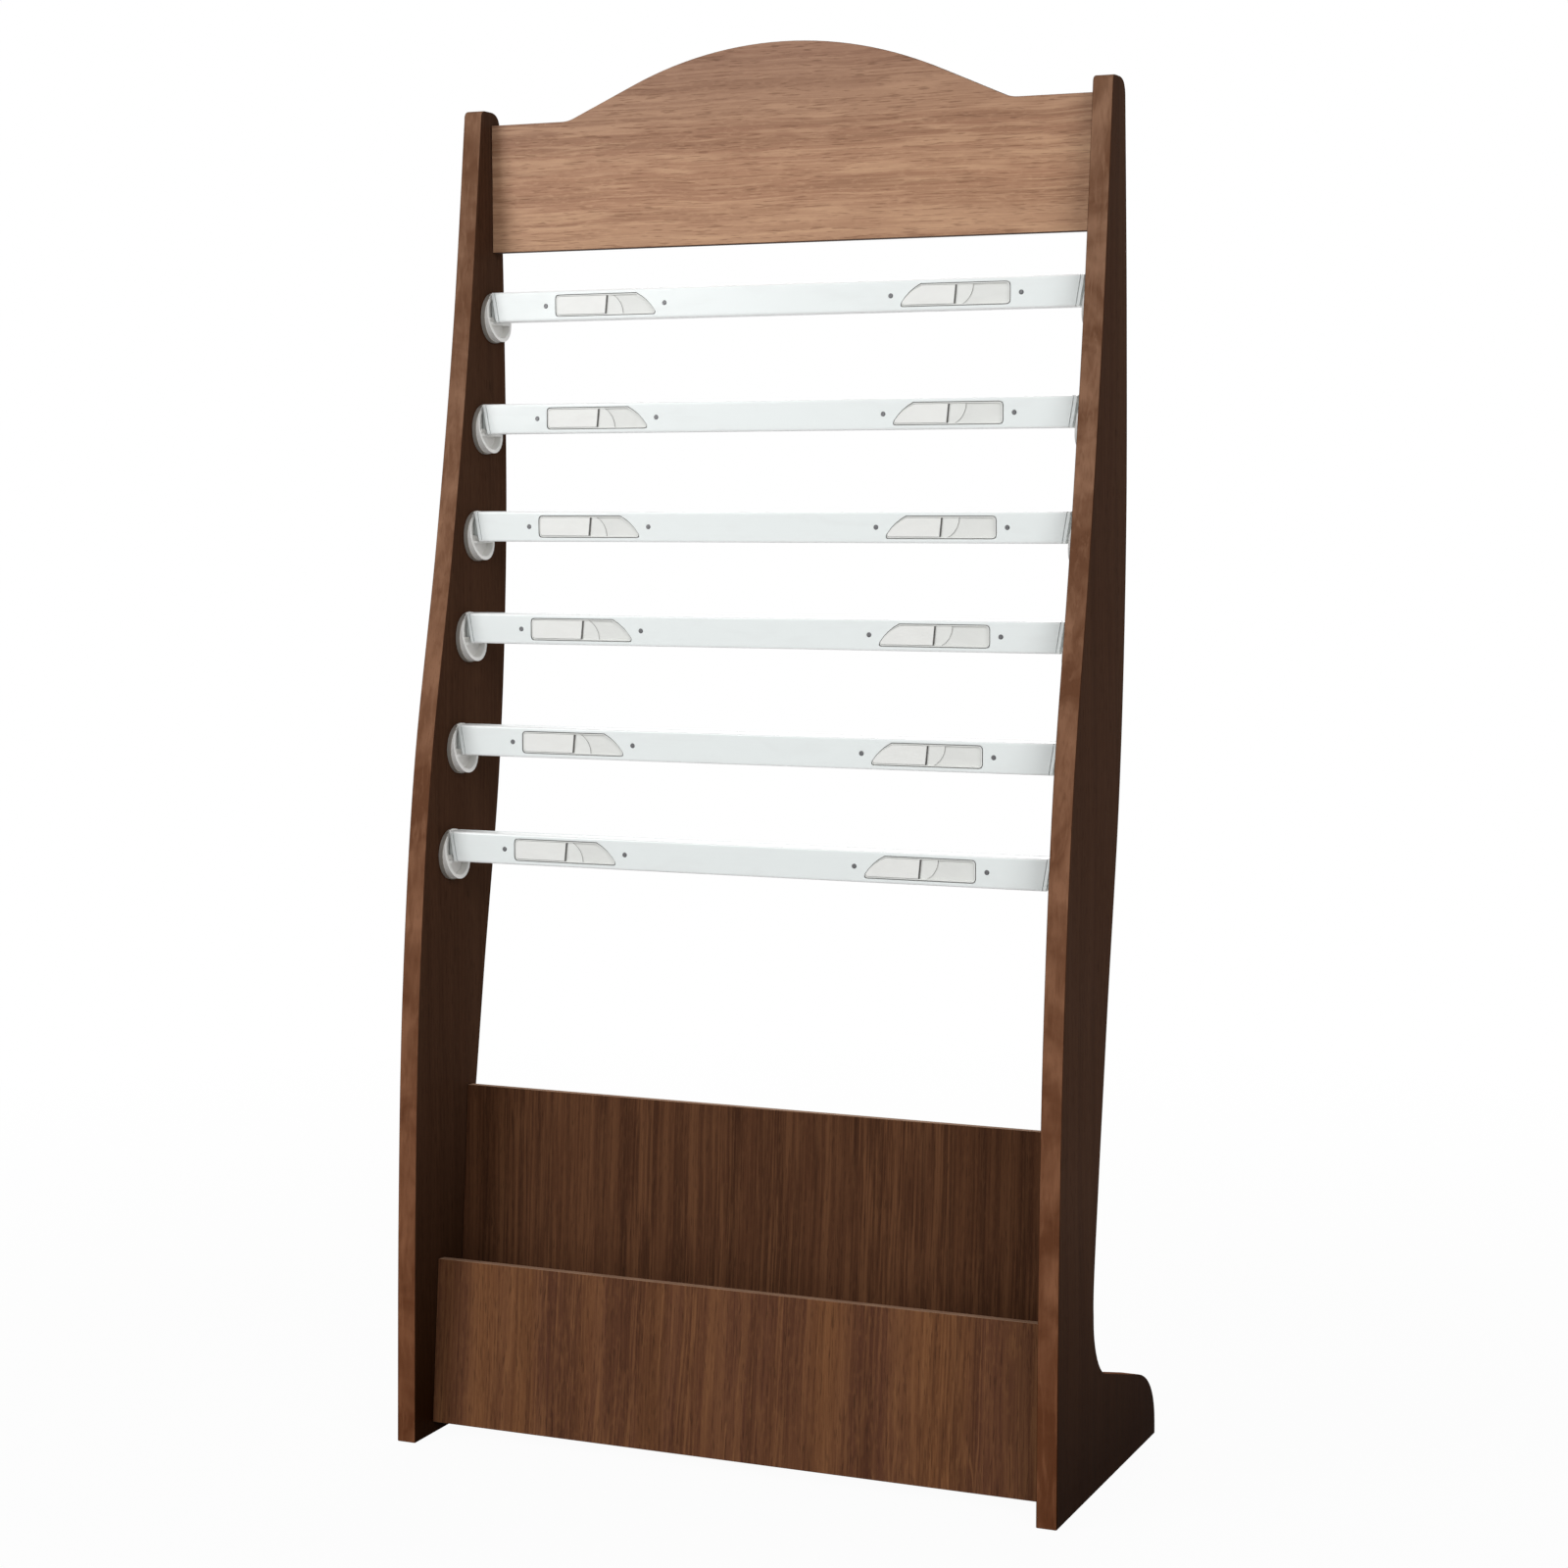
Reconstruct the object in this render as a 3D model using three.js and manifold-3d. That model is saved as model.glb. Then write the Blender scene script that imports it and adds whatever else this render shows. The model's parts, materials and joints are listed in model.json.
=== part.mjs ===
// Periodical display rack.
// Two swept side panels carry an arched header board and a low leaning trough.
// Six clamp bars drop into round holders on the panels' inner faces. The holders' rims and the
// bars' ends slant alike. Each bar is a back rail with an end lug and a tongue at each end, and
// a front jaw that swings on a bead along the rail's top edge and is held shut by two latches.
// X runs along the bars, Y runs from the front to the back, Z runs up from the floor.

import * as THREE from 'three';
import { mergeVertices } from 'three/addons/utils/BufferGeometryUtils.js';
import Module from 'manifold-3d';

const wasm = await Module();
wasm.setup();

// Driving dimensions of the whole rack, in millimetres
const RACK_WIDTH = 680;
const SEAT_GAP = 0.3; // left between two pieces that rest on each other

// Side panels: setbacks run from the front of the foot, heights from the floor
const PANEL_THICKNESS = 20;
const PANEL_HEIGHT = 1313;
const FRONT_SWEEP = [6.4, 19.3, 46.9, 95.4, 135.3]; // front edge at each sixth of the height
const BACK_SWEEP = [113, 149, 188.3, 206.8, 207.7]; // back edge at the same heights
const NOSE_FRONT = 163;
const NOSE_DEPTH = 39;
const NOSE_FRONT_RADIUS = 9;
const NOSE_BACK_RADIUS = 18;
const WAIST_SETBACK = 109.5;
const WAIST_HEIGHT = 163;
const FOOT_LENGTH = 308;
const INSTEP_SETBACK = 146;
const INSTEP_HEIGHT = 104;
const TOE_SETBACK = 256;
const TOE_HEIGHT = 73;
const TOE_TIP_HEIGHT = 12;
const TOE_FULLNESS = 0.6; // share of the toe's run and height that its curve keeps to

// Header board
const HEADER_THICKNESS = 16;
const HEADER_SETBACK = 183;
const HEADER_TOP_TO_SHOULDER = 13.5; // panel top down to the board's flat shoulders
const HEADER_SHOULDER_HEIGHT = 127.5;
const ARCH_RISE = 65.5;
const ARCH_RADIUS = 400;
const ARCH_FLANK_ANGLE = THREE.MathUtils.degToRad(23.6);
const ARCH_FOOT_FILLET = 7;

// Trough: both boards and the shelf lean back together
const TROUGH_LEAN = THREE.MathUtils.degToRad(5.3);
const TROUGH_SETBACK = 34;
const TROUGH_FLOOR_GAP = 12;
const TROUGH_BOARD_THICKNESS = 12;
const TROUGH_POCKET_DEPTH = 36;
const TROUGH_FRONT_HEIGHT = 161;
const TROUGH_BACK_HEIGHT = 329;
const TROUGH_SHELF_HEIGHT = 28;

// Rows of clamp bars: the middle of each holder
const FIRST_ROW_BELOW_TOP = 206.9;
const FIRST_ROW_SETBACK = 181.8;
const ROW_DROPS = [0, 112.4, 219.3, 320, 430.2, 534.2];
const ROW_LEAN_RATIO = 0.1825; // how far a row comes forward for each millimetre it drops

// Bar holders
const HOLDER_RADIUS = 25.2;
const HOLDER_BASE_THICKNESS = 4;
const HOLDER_DEPTH = 7.4; // at the holder's middle
const HOLDER_SLANT_RATIO = 0.17; // how much deeper a holder gets for each millimetre down
const HOLDER_RIM_STEP = 1;
const HOLDER_RIM_WALL = 3.6;
const HOLDER_FLOOR = 2;
const HOLDER_LEDGE_DROP = 4.4; // from the holder's middle down to the tongue's lower edge
const HOLDER_LEDGE_THICKNESS = 2.6;
const HOLDER_LIP_HEIGHT = 5;
const HOLDER_LIP_THICKNESS = 2;
const HOLDER_SIDE_CLEARANCE = 0.8;

// Clamp bar section: y is measured from the hinge line, z from the bar's lower edge
const BAR_HEIGHT = 30;
const BAR_FRONT = 15;
const BAR_BACK = 6;
const BAR_FORWARD = 2; // from the holder's middle forward to the hinge line
const BAR_WALL = 2;
const BAR_CORNER = 2.4;
const BAR_END_GAP = 4.7; // from the holder's rim to the end of the bar's whole section
const JAW_GAP = 0.6;
const JAW_END_GAP = 0.6;
const JAW_LIP_HEIGHT = 6;
const LUG_LENGTH = 3;
const TONGUE_FRONT = 6;
const TONGUE_BACK = 5;
const TONGUE_RISE = 1; // from the bar's lower edge up to the tongue's
const TONGUE_HEIGHT = 22;
const TONGUE_END_CLEARANCE = 1;
const BEAD_RADIUS = 1.5;
const BEAD_NECK = 1.2;
const SOCKET_CLEARANCE = 0.35;
const SOCKET_WALL = 1.3;
const SOCKET_MOUTH_LOW = THREE.MathUtils.degToRad(-27);
const SOCKET_MOUTH_HIGH = THREE.MathUtils.degToRad(67);
const GRIP_HEIGHT = 3;
const GRIP_DEPTH = 1.4;
const GRIP_PROUD = 0.2;

// Latches: a window in the jaw, a housing behind it and a slider in the housing's track
const LATCH_END_SETBACK = 123; // from the bar's end to a window's middle
const WINDOW_LENGTH = 112;
const WINDOW_HEIGHT = 22;
const WINDOW_CORNER = 4.5;
const WINDOW_SLANT = 22;
const WINDOW_BULGE = 2.5; // how far the swept end's curve is drawn out of its chord
const WINDOW_SEAM = 0.8;
const HOUSING_RECESS = 0.2;
const HOUSING_EAR = 16;
const HOUSING_FLANGE = 1.5;
const HOUSING_FLANGE_CLEARANCE = 0.6;
const TRACK_RIM = 0.9;
const TRACK_DEPTH = 1.4;
const SCOOP_DEPTH = 1;
const SCOOP_RADIUS = 21;
const SCOOP_REACH = 17; // from the slider's end to the furthest point of the scoop's curved edge
const SLIDER_END_OFFSET = 1.3; // from the window's middle to the slider's right-hand end, at mid height
const SLIDER_END_SLANT_RATIO = 0.1; // how much longer the slider gets for each millimetre up
const SLIDER_CLEARANCE = 0.4;
const SLIDER_PROUD = 0.4;
const SLIDER_TRAVEL = 18;
const SHANK_LENGTH = 14;
const SHANK_HEIGHT = 3;
const KEEPER_LENGTH = 20;
const KEEPER_HEIGHT = 8;
const KEEPER_THICKNESS = 1.1;

// Worked out from the driving dimensions
const PANEL_INNER = RACK_WIDTH / 2 - PANEL_THICKNESS;
const BOARD_HALF = PANEL_INNER - SEAT_GAP;
const FRONT_OF_FOOT = -FOOT_LENGTH / 2;
const TONGUE_HALF = BOARD_HALF - HOLDER_FLOOR - TONGUE_END_CLEARANCE;
const SOCKET_BORE = BEAD_RADIUS + SOCKET_CLEARANCE;
const SOCKET_RADIUS = SOCKET_BORE + SOCKET_WALL;
const HINGE_HEIGHT = BAR_HEIGHT - SOCKET_RADIUS;
const BAR_DROP = HOLDER_LEDGE_DROP + TONGUE_RISE; // from the holder's middle to the bar's lower edge

// The bar's slanting ends, each measured along its lower edge
const HOLDER_DEPTH_AT_BAR = HOLDER_DEPTH + HOLDER_SLANT_RATIO * BAR_DROP;
const BAR_HALF = BOARD_HALF - HOLDER_DEPTH_AT_BAR - BAR_END_GAP;
const LUG_INNER = BAR_HALF - LUG_LENGTH;
const JAW_HALF = LUG_INNER - JAW_END_GAP;
const BAR_REACH = BAR_HALF + HOLDER_SLANT_RATIO * BAR_HEIGHT; // the upper edge's half length
const LATCH_OFFSET = BAR_HALF - LATCH_END_SETBACK;
const WINDOW_LOW = (BAR_HEIGHT - WINDOW_HEIGHT) / 2;

const CURVE_STEPS = 4;
const PANEL_CURVE_STEPS = 10;
const ROUND_STEPS = 28;
const OVERCUT = 1; // how far a cutting tool runs past the face it opens
const WELD_TOLERANCE = 1e-4;

// Finishes
const finish = (color, roughness, metalness) =>
  new THREE.MeshStandardMaterial({ color, roughness, metalness });
const walnutLaminate = () => finish(0x5e3a26, 0.5, 0);
const whiteAluminium = () => finish(0xeef1f1, 0.35, 0.15);
const whitePlastic = () => finish(0xe4e3df, 0.4, 0);
const holderPlastic = () => finish(0xd2d1cb, 0.45, 0);
const greyRubber = () => finish(0x55565a, 0.85, 0);

// Solids and meshes
function toSolid(geometry) {
  const bare = geometry.clone();
  bare.deleteAttribute('normal');
  bare.deleteAttribute('uv');
  const merged = mergeVertices(bare, WELD_TOLERANCE);
  return new wasm.Manifold(new wasm.Mesh({
    numProp: 3,
    vertProperties: new Float32Array(merged.attributes.position.array),
    triVerts: new Uint32Array(merged.index.array),
  }));
}

function toGeometry(solid) {
  const mesh = solid.getMesh();
  const geometry = new THREE.BufferGeometry();
  geometry.setAttribute('position', new THREE.BufferAttribute(mesh.vertProperties, 3));
  geometry.setIndex(new THREE.BufferAttribute(mesh.triVerts, 1));
  geometry.computeVertexNormals();
  return geometry;
}

function addPiece(group, name, geometry, material) {
  const mesh = new THREE.Mesh(geometry, material);
  mesh.name = name;
  group.add(mesh);
  return mesh;
}

function boxBetween(low, high) {
  const size = high.map((value, axis) => value - low[axis]);
  const middle = high.map((value, axis) => (value + low[axis]) / 2);
  return new THREE.BoxGeometry(...size).translate(...middle);
}

// A section drawn with x as depth and y as height, run along X between two ends
function sectionAlongX(shape, from, to, curveSegments = CURVE_STEPS) {
  const settings = { depth: to - from, bevelEnabled: false, curveSegments };
  const turn = new THREE.Matrix4().makeBasis(
    new THREE.Vector3(0, 1, 0),
    new THREE.Vector3(0, 0, 1),
    new THREE.Vector3(1, 0, 0),
  );
  return new THREE.ExtrudeGeometry(shape, settings).applyMatrix4(turn).translate(from, 0, 0);
}

// An outline drawn as the front view shows it, given thickness from front to back
function plateFacingFront(shape, front, back) {
  const settings = { depth: back - front, bevelEnabled: false, curveSegments: CURVE_STEPS };
  const turn = new THREE.Matrix4().makeBasis(
    new THREE.Vector3(1, 0, 0),
    new THREE.Vector3(0, 0, 1),
    new THREE.Vector3(0, -1, 0),
  );
  return new THREE.ExtrudeGeometry(shape, settings).applyMatrix4(turn).translate(0, back, 0);
}

// Cuts by a plane that slants along X as it rises and meets z = 0 at a given reach along X.
// Unless it is told otherwise it slants as the holders' rims do.
const SLANT_LENGTH = Math.hypot(1, HOLDER_SLANT_RATIO);

function keepWithin(solid, reach, ratio = HOLDER_SLANT_RATIO) {
  return solid.trimByPlane([-1, 0, ratio], -reach / Math.hypot(1, ratio));
}

function keepBeyond(solid, reach) {
  return solid.trimByPlane([1, 0, -HOLDER_SLANT_RATIO], reach / SLANT_LENGTH);
}

// Slants both ends of a solid that is its own mirror image
function slantBothEnds(solid, reach) {
  return keepWithin(keepWithin(solid, reach).mirror([1, 0, 0]), reach);
}

// Side panels
function panelOutline() {
  const steps = FRONT_SWEEP.length + 1;
  const station = (setback, index) => new THREE.Vector2(setback, (PANEL_HEIGHT * (index + 1)) / steps);
  const noseBack = NOSE_FRONT + NOSE_DEPTH;
  const shape = new THREE.Shape();
  shape.moveTo(0, 0);
  shape.splineThru([
    ...FRONT_SWEEP.map(station),
    new THREE.Vector2(NOSE_FRONT, PANEL_HEIGHT - NOSE_FRONT_RADIUS),
  ]);
  shape.quadraticCurveTo(NOSE_FRONT, PANEL_HEIGHT, NOSE_FRONT + NOSE_FRONT_RADIUS, PANEL_HEIGHT);
  shape.lineTo(noseBack - NOSE_BACK_RADIUS, PANEL_HEIGHT);
  shape.quadraticCurveTo(noseBack, PANEL_HEIGHT, noseBack, PANEL_HEIGHT - NOSE_BACK_RADIUS);
  shape.splineThru([
    ...BACK_SWEEP.map(station).reverse(),
    new THREE.Vector2(WAIST_SETBACK, WAIST_HEIGHT),
  ]);
  // The heel hollow, the sloping instep and the rounded toe behind
  const heelDrop = WAIST_HEIGHT - INSTEP_HEIGHT;
  const heelRun = INSTEP_SETBACK - WAIST_SETBACK;
  const instepSlope = (INSTEP_HEIGHT - TOE_HEIGHT) / (TOE_SETBACK - INSTEP_SETBACK);
  shape.bezierCurveTo(
    WAIST_SETBACK, WAIST_HEIGHT - heelDrop / 2,
    INSTEP_SETBACK - heelRun / 2, INSTEP_HEIGHT + (instepSlope * heelRun) / 2,
    INSTEP_SETBACK, INSTEP_HEIGHT,
  );
  shape.lineTo(TOE_SETBACK, TOE_HEIGHT);
  const toeRun = FOOT_LENGTH - TOE_SETBACK;
  shape.bezierCurveTo(
    TOE_SETBACK + toeRun * TOE_FULLNESS, TOE_HEIGHT - instepSlope * toeRun * TOE_FULLNESS,
    FOOT_LENGTH, TOE_HEIGHT * TOE_FULLNESS,
    FOOT_LENGTH, TOE_TIP_HEIGHT,
  );
  shape.lineTo(FOOT_LENGTH, 0);
  shape.closePath();
  return shape;
}

function buildPanels(rack) {
  const outer = RACK_WIDTH / 2;
  for (const [name, from] of [['side_panel_left', -outer], ['side_panel_right', PANEL_INNER]]) {
    const panel = sectionAlongX(panelOutline(), from, from + PANEL_THICKNESS, PANEL_CURVE_STEPS);
    addPiece(rack, name, panel.translate(0, FRONT_OF_FOOT, 0), walnutLaminate());
  }
}

// Header board: flat shoulders and a crowned arch with straight flanks
function headerOutline() {
  const shoulder = PANEL_HEIGHT - HEADER_TOP_TO_SHOULDER;
  const crest = shoulder + ARCH_RISE;
  const flankX = ARCH_RADIUS * Math.sin(ARCH_FLANK_ANGLE);
  const flankZ = crest - ARCH_RADIUS * (1 - Math.cos(ARCH_FLANK_ANGLE));
  const footX = flankX + (flankZ - shoulder) / Math.tan(ARCH_FLANK_ANGLE);
  const filletX = ARCH_FOOT_FILLET * Math.cos(ARCH_FLANK_ANGLE);
  const filletZ = ARCH_FOOT_FILLET * Math.sin(ARCH_FLANK_ANGLE);
  const shape = new THREE.Shape();
  shape.moveTo(-BOARD_HALF, shoulder - HEADER_SHOULDER_HEIGHT);
  shape.lineTo(BOARD_HALF, shoulder - HEADER_SHOULDER_HEIGHT);
  shape.lineTo(BOARD_HALF, shoulder);
  shape.lineTo(footX + ARCH_FOOT_FILLET, shoulder);
  shape.quadraticCurveTo(footX, shoulder, footX - filletX, shoulder + filletZ);
  const quarter = Math.PI / 2;
  for (let step = 0; step <= ROUND_STEPS; step += 1) {
    const angle = quarter + ARCH_FLANK_ANGLE * ((2 * step) / ROUND_STEPS - 1);
    shape.lineTo(ARCH_RADIUS * Math.cos(angle), crest + ARCH_RADIUS * (Math.sin(angle) - 1));
  }
  shape.lineTo(-footX + filletX, shoulder + filletZ);
  shape.quadraticCurveTo(-footX, shoulder, -footX - ARCH_FOOT_FILLET, shoulder);
  shape.lineTo(-BOARD_HALF, shoulder);
  shape.closePath();
  return shape;
}

function buildHeader(rack) {
  const front = FRONT_OF_FOOT + HEADER_SETBACK;
  const board = plateFacingFront(headerOutline(), front, front + HEADER_THICKNESS);
  addPiece(rack, 'header_board', board, walnutLaminate());
}

// Trough
function buildTrough(rack) {
  const trough = new THREE.Group();
  trough.position.set(0, FRONT_OF_FOOT + TROUGH_SETBACK, TROUGH_FLOOR_GAP);
  trough.rotation.x = -TROUGH_LEAN;
  rack.add(trough);
  const pocketBack = TROUGH_BOARD_THICKNESS + TROUGH_POCKET_DEPTH;
  const board = (name, from, to, low, high) => {
    const box = boxBetween([-BOARD_HALF, from, low], [BOARD_HALF, to, high]);
    addPiece(trough, name, box, walnutLaminate());
  };
  board('trough_front_board', 0, TROUGH_BOARD_THICKNESS, 0, TROUGH_FRONT_HEIGHT);
  board('trough_back_board', pocketBack, pocketBack + TROUGH_BOARD_THICKNESS, 0, TROUGH_BACK_HEIGHT);
  board(
    'trough_shelf',
    TROUGH_BOARD_THICKNESS + SEAT_GAP, pocketBack - SEAT_GAP,
    TROUGH_SHELF_HEIGHT - TROUGH_BOARD_THICKNESS, TROUGH_SHELF_HEIGHT,
  );
}

// Bar holder: an open dish with a ledge across it and a mouth at the top for the bar's tongue.
// The dish is a turned profile whose axis is laid along X, pointing away from the left panel.
const HOLDER_DEEPEST = HOLDER_DEPTH + HOLDER_SLANT_RATIO * HOLDER_RADIUS + OVERCUT;

function holderDish() {
  const rimRadius = HOLDER_RADIUS - HOLDER_RIM_STEP;
  const boreRadius = rimRadius - HOLDER_RIM_WALL;
  const profile = [
    [0, 0],
    [HOLDER_RADIUS, 0],
    [HOLDER_RADIUS, HOLDER_BASE_THICKNESS],
    [rimRadius, HOLDER_BASE_THICKNESS],
    [rimRadius, HOLDER_DEEPEST],
    [boreRadius, HOLDER_DEEPEST],
    [boreRadius, HOLDER_FLOOR],
    [0, HOLDER_FLOOR],
  ];
  const points = profile.map(([radius, along]) => new THREE.Vector2(radius, along));
  return new THREE.LatheGeometry(points, ROUND_STEPS).rotateZ(-Math.PI / 2);
}

// The left-hand holder, open towards +X, with its middle at the origin of Y and Z
function holderSolid() {
  const mouthFront = -BAR_FORWARD - TONGUE_FRONT - HOLDER_SIDE_CLEARANCE;
  const mouthBack = -BAR_FORWARD + TONGUE_BACK + HOLDER_SIDE_CLEARANCE;
  const ledgeTop = -HOLDER_LEDGE_DROP - SEAT_GAP;
  const ledgeHalf = HOLDER_RADIUS - HOLDER_RIM_STEP - HOLDER_RIM_WALL / 2;
  const ledgeReach = Math.sqrt(ledgeHalf ** 2 - (HOLDER_LEDGE_DROP + HOLDER_LEDGE_THICKNESS) ** 2);
  const inside = HOLDER_FLOOR / 2;
  const lipTop = ledgeTop + HOLDER_LIP_HEIGHT;
  const ledge = boxBetween(
    [inside, -ledgeReach, ledgeTop - HOLDER_LEDGE_THICKNESS],
    [HOLDER_DEEPEST, ledgeReach, ledgeTop],
  );
  const lip = (from) => boxBetween(
    [inside, from, ledgeTop - HOLDER_LEDGE_THICKNESS / 2],
    [HOLDER_DEEPEST, from + HOLDER_LIP_THICKNESS, lipTop],
  );
  const mouth = boxBetween(
    [HOLDER_FLOOR, mouthFront, 0],
    [HOLDER_DEEPEST + OVERCUT, mouthBack, HOLDER_RADIUS + OVERCUT],
  );
  const holder = toSolid(holderDish())
    .add(toSolid(ledge))
    .add(toSolid(lip(mouthFront - HOLDER_LIP_THICKNESS)))
    .add(toSolid(lip(mouthBack)))
    .subtract(toSolid(mouth));
  return holder.trimByPlane([-1, 0, -HOLDER_SLANT_RATIO], -HOLDER_DEPTH / SLANT_LENGTH);
}

function buildHolders(row, number) {
  const left = toGeometry(holderSolid());
  const right = toGeometry(holderSolid().mirror([1, 0, 0]));
  addPiece(row, `bar_holder_${number}_left`, left.translate(-BOARD_HALF, 0, 0), holderPlastic());
  addPiece(row, `bar_holder_${number}_right`, right.translate(BOARD_HALF, 0, 0), holderPlastic());
}

// Back rail: an upright wall with a hinge bead near the top and a grooved foot below
function railSection() {
  const wallFront = BAR_BACK - BAR_WALL;
  const neckReach = Math.sqrt(BEAD_RADIUS ** 2 - (BEAD_NECK / 2) ** 2);
  const neckAngle = Math.asin(BEAD_NECK / 2 / BEAD_RADIUS);
  const grooveLow = (JAW_LIP_HEIGHT - GRIP_HEIGHT) / 2 - SEAT_GAP;
  const grooveHigh = (JAW_LIP_HEIGHT + GRIP_HEIGHT) / 2 + SEAT_GAP;
  const shape = new THREE.Shape();
  shape.moveTo(0, 0);
  shape.lineTo(BAR_BACK - BAR_CORNER, 0);
  shape.quadraticCurveTo(BAR_BACK, 0, BAR_BACK, BAR_CORNER);
  shape.lineTo(BAR_BACK, BAR_HEIGHT - BAR_WALL);
  shape.quadraticCurveTo(BAR_BACK, BAR_HEIGHT, wallFront, BAR_HEIGHT);
  shape.lineTo(wallFront, HINGE_HEIGHT + BEAD_NECK / 2);
  shape.lineTo(neckReach, HINGE_HEIGHT + BEAD_NECK / 2);
  shape.absarc(0, HINGE_HEIGHT, BEAD_RADIUS, neckAngle, 2 * Math.PI - neckAngle, false);
  shape.lineTo(wallFront, HINGE_HEIGHT - BEAD_NECK / 2);
  shape.lineTo(wallFront, JAW_LIP_HEIGHT);
  shape.lineTo(0, JAW_LIP_HEIGHT);
  shape.lineTo(0, grooveHigh);
  shape.lineTo(GRIP_DEPTH, grooveHigh);
  shape.lineTo(GRIP_DEPTH, grooveLow);
  shape.lineTo(0, grooveLow);
  shape.closePath();
  return shape;
}

// The lug at each end of the rail has the whole bar's section, and a tongue outside it
function lugSection() {
  const shape = new THREE.Shape();
  shape.moveTo(-BAR_FRONT + BAR_CORNER, 0);
  shape.lineTo(BAR_BACK - BAR_CORNER, 0);
  shape.quadraticCurveTo(BAR_BACK, 0, BAR_BACK, BAR_CORNER);
  shape.lineTo(BAR_BACK, BAR_HEIGHT - BAR_CORNER);
  shape.quadraticCurveTo(BAR_BACK, BAR_HEIGHT, BAR_BACK - BAR_CORNER, BAR_HEIGHT);
  shape.lineTo(-BAR_FRONT + BAR_CORNER, BAR_HEIGHT);
  shape.quadraticCurveTo(-BAR_FRONT, BAR_HEIGHT, -BAR_FRONT, BAR_HEIGHT - BAR_CORNER);
  shape.lineTo(-BAR_FRONT, BAR_CORNER);
  shape.quadraticCurveTo(-BAR_FRONT, 0, -BAR_FRONT + BAR_CORNER, 0);
  return shape;
}

function railGeometry() {
  const rail = toSolid(sectionAlongX(railSection(), -BAR_REACH, BAR_REACH));
  const lug = toSolid(sectionAlongX(lugSection(), LUG_INNER - OVERCUT, BAR_REACH + OVERCUT));
  const tongue = toSolid(boxBetween(
    [LUG_INNER, -TONGUE_FRONT, TONGUE_RISE],
    [TONGUE_HALF, TONGUE_BACK, TONGUE_RISE + TONGUE_HEIGHT],
  ));
  const end = keepWithin(keepBeyond(lug, LUG_INNER), BAR_HALF)
    .add(keepBeyond(tongue, LUG_INNER + LUG_LENGTH / 4));
  return toGeometry(slantBothEnds(rail, LUG_INNER + LUG_LENGTH / 2).add(end).add(end.mirror([1, 0, 0])));
}

function gripGeometry() {
  const low = (JAW_LIP_HEIGHT - GRIP_HEIGHT) / 2;
  return boxBetween(
    [-JAW_HALF, -GRIP_PROUD, low],
    [JAW_HALF, GRIP_DEPTH - SEAT_GAP, low + GRIP_HEIGHT],
  );
}

// Front jaw: a channel with a hinge socket along its top and a gripping lip along its foot
function jawSection() {
  const inner = -BAR_FRONT + BAR_WALL;
  const ceiling = BAR_HEIGHT - BAR_WALL;
  const meetRise = ceiling - HINGE_HEIGHT;
  const meetAngle = Math.PI - Math.asin(meetRise / SOCKET_RADIUS);
  const mouthLow = 2 * Math.PI + SOCKET_MOUTH_LOW;
  const lipFront = -JAW_GAP - BAR_WALL;
  const shape = new THREE.Shape();
  shape.moveTo(-JAW_GAP, 0);
  shape.lineTo(-BAR_FRONT + BAR_CORNER, 0);
  shape.quadraticCurveTo(-BAR_FRONT, 0, -BAR_FRONT, BAR_CORNER);
  shape.lineTo(-BAR_FRONT, BAR_HEIGHT - BAR_CORNER);
  shape.quadraticCurveTo(-BAR_FRONT, BAR_HEIGHT, -BAR_FRONT + BAR_CORNER, BAR_HEIGHT);
  shape.absarc(0, HINGE_HEIGHT, SOCKET_RADIUS, Math.PI / 2, SOCKET_MOUTH_HIGH, true);
  shape.absarc(0, HINGE_HEIGHT, SOCKET_BORE, SOCKET_MOUTH_HIGH, mouthLow, false);
  shape.absarc(0, HINGE_HEIGHT, SOCKET_RADIUS, mouthLow, meetAngle, true);
  shape.lineTo(inner, ceiling);
  shape.lineTo(inner, BAR_WALL);
  shape.lineTo(lipFront, BAR_WALL);
  shape.lineTo(lipFront, JAW_LIP_HEIGHT);
  shape.lineTo(-JAW_GAP, JAW_LIP_HEIGHT);
  shape.closePath();
  return shape;
}

// Latch window: square at the outer end, swept down to a point at the end nearer the middle.
// The outline is drawn about the window's middle for the left-hand latch.
function windowOutline(inset) {
  const half = WINDOW_LENGTH / 2 - inset;
  const low = WINDOW_LOW + inset;
  const high = WINDOW_LOW + WINDOW_HEIGHT - inset;
  const corner = WINDOW_CORNER - inset / 2;
  const slantTop = half - WINDOW_SLANT + inset / 2;
  const shape = new THREE.Shape();
  shape.moveTo(-half + corner, low);
  shape.lineTo(half - corner, low);
  shape.quadraticCurveTo(half, low, half - corner / 2, low + corner);
  shape.quadraticCurveTo(
    (half - corner / 2 + slantTop) / 2 + WINDOW_BULGE, (low + corner + high) / 2 + WINDOW_BULGE,
    slantTop, high,
  );
  shape.lineTo(-half + corner, high);
  shape.quadraticCurveTo(-half, high, -half, high - corner);
  shape.lineTo(-half, low + corner);
  shape.quadraticCurveTo(-half, low, -half + corner, low);
  return shape;
}

// side is -1 for the left-hand latch and 1 for the right-hand one, which is its mirror image
function windowSolid(side, inset, front, back) {
  const solid = toSolid(plateFacingFront(windowOutline(inset), front, back));
  return side > 0 ? solid.mirror([1, 0, 0]) : solid;
}

function jawGeometry() {
  let jaw = slantBothEnds(toSolid(sectionAlongX(jawSection(), -BAR_REACH, BAR_REACH)), JAW_HALF);
  for (const side of [-1, 1]) {
    const cut = windowSolid(side, 0, -BAR_FRONT - OVERCUT, -BAR_FRONT + BAR_WALL + OVERCUT / 2);
    jaw = jaw.subtract(cut.translate([side * LATCH_OFFSET, 0, 0]));
  }
  return toGeometry(jaw);
}

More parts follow.
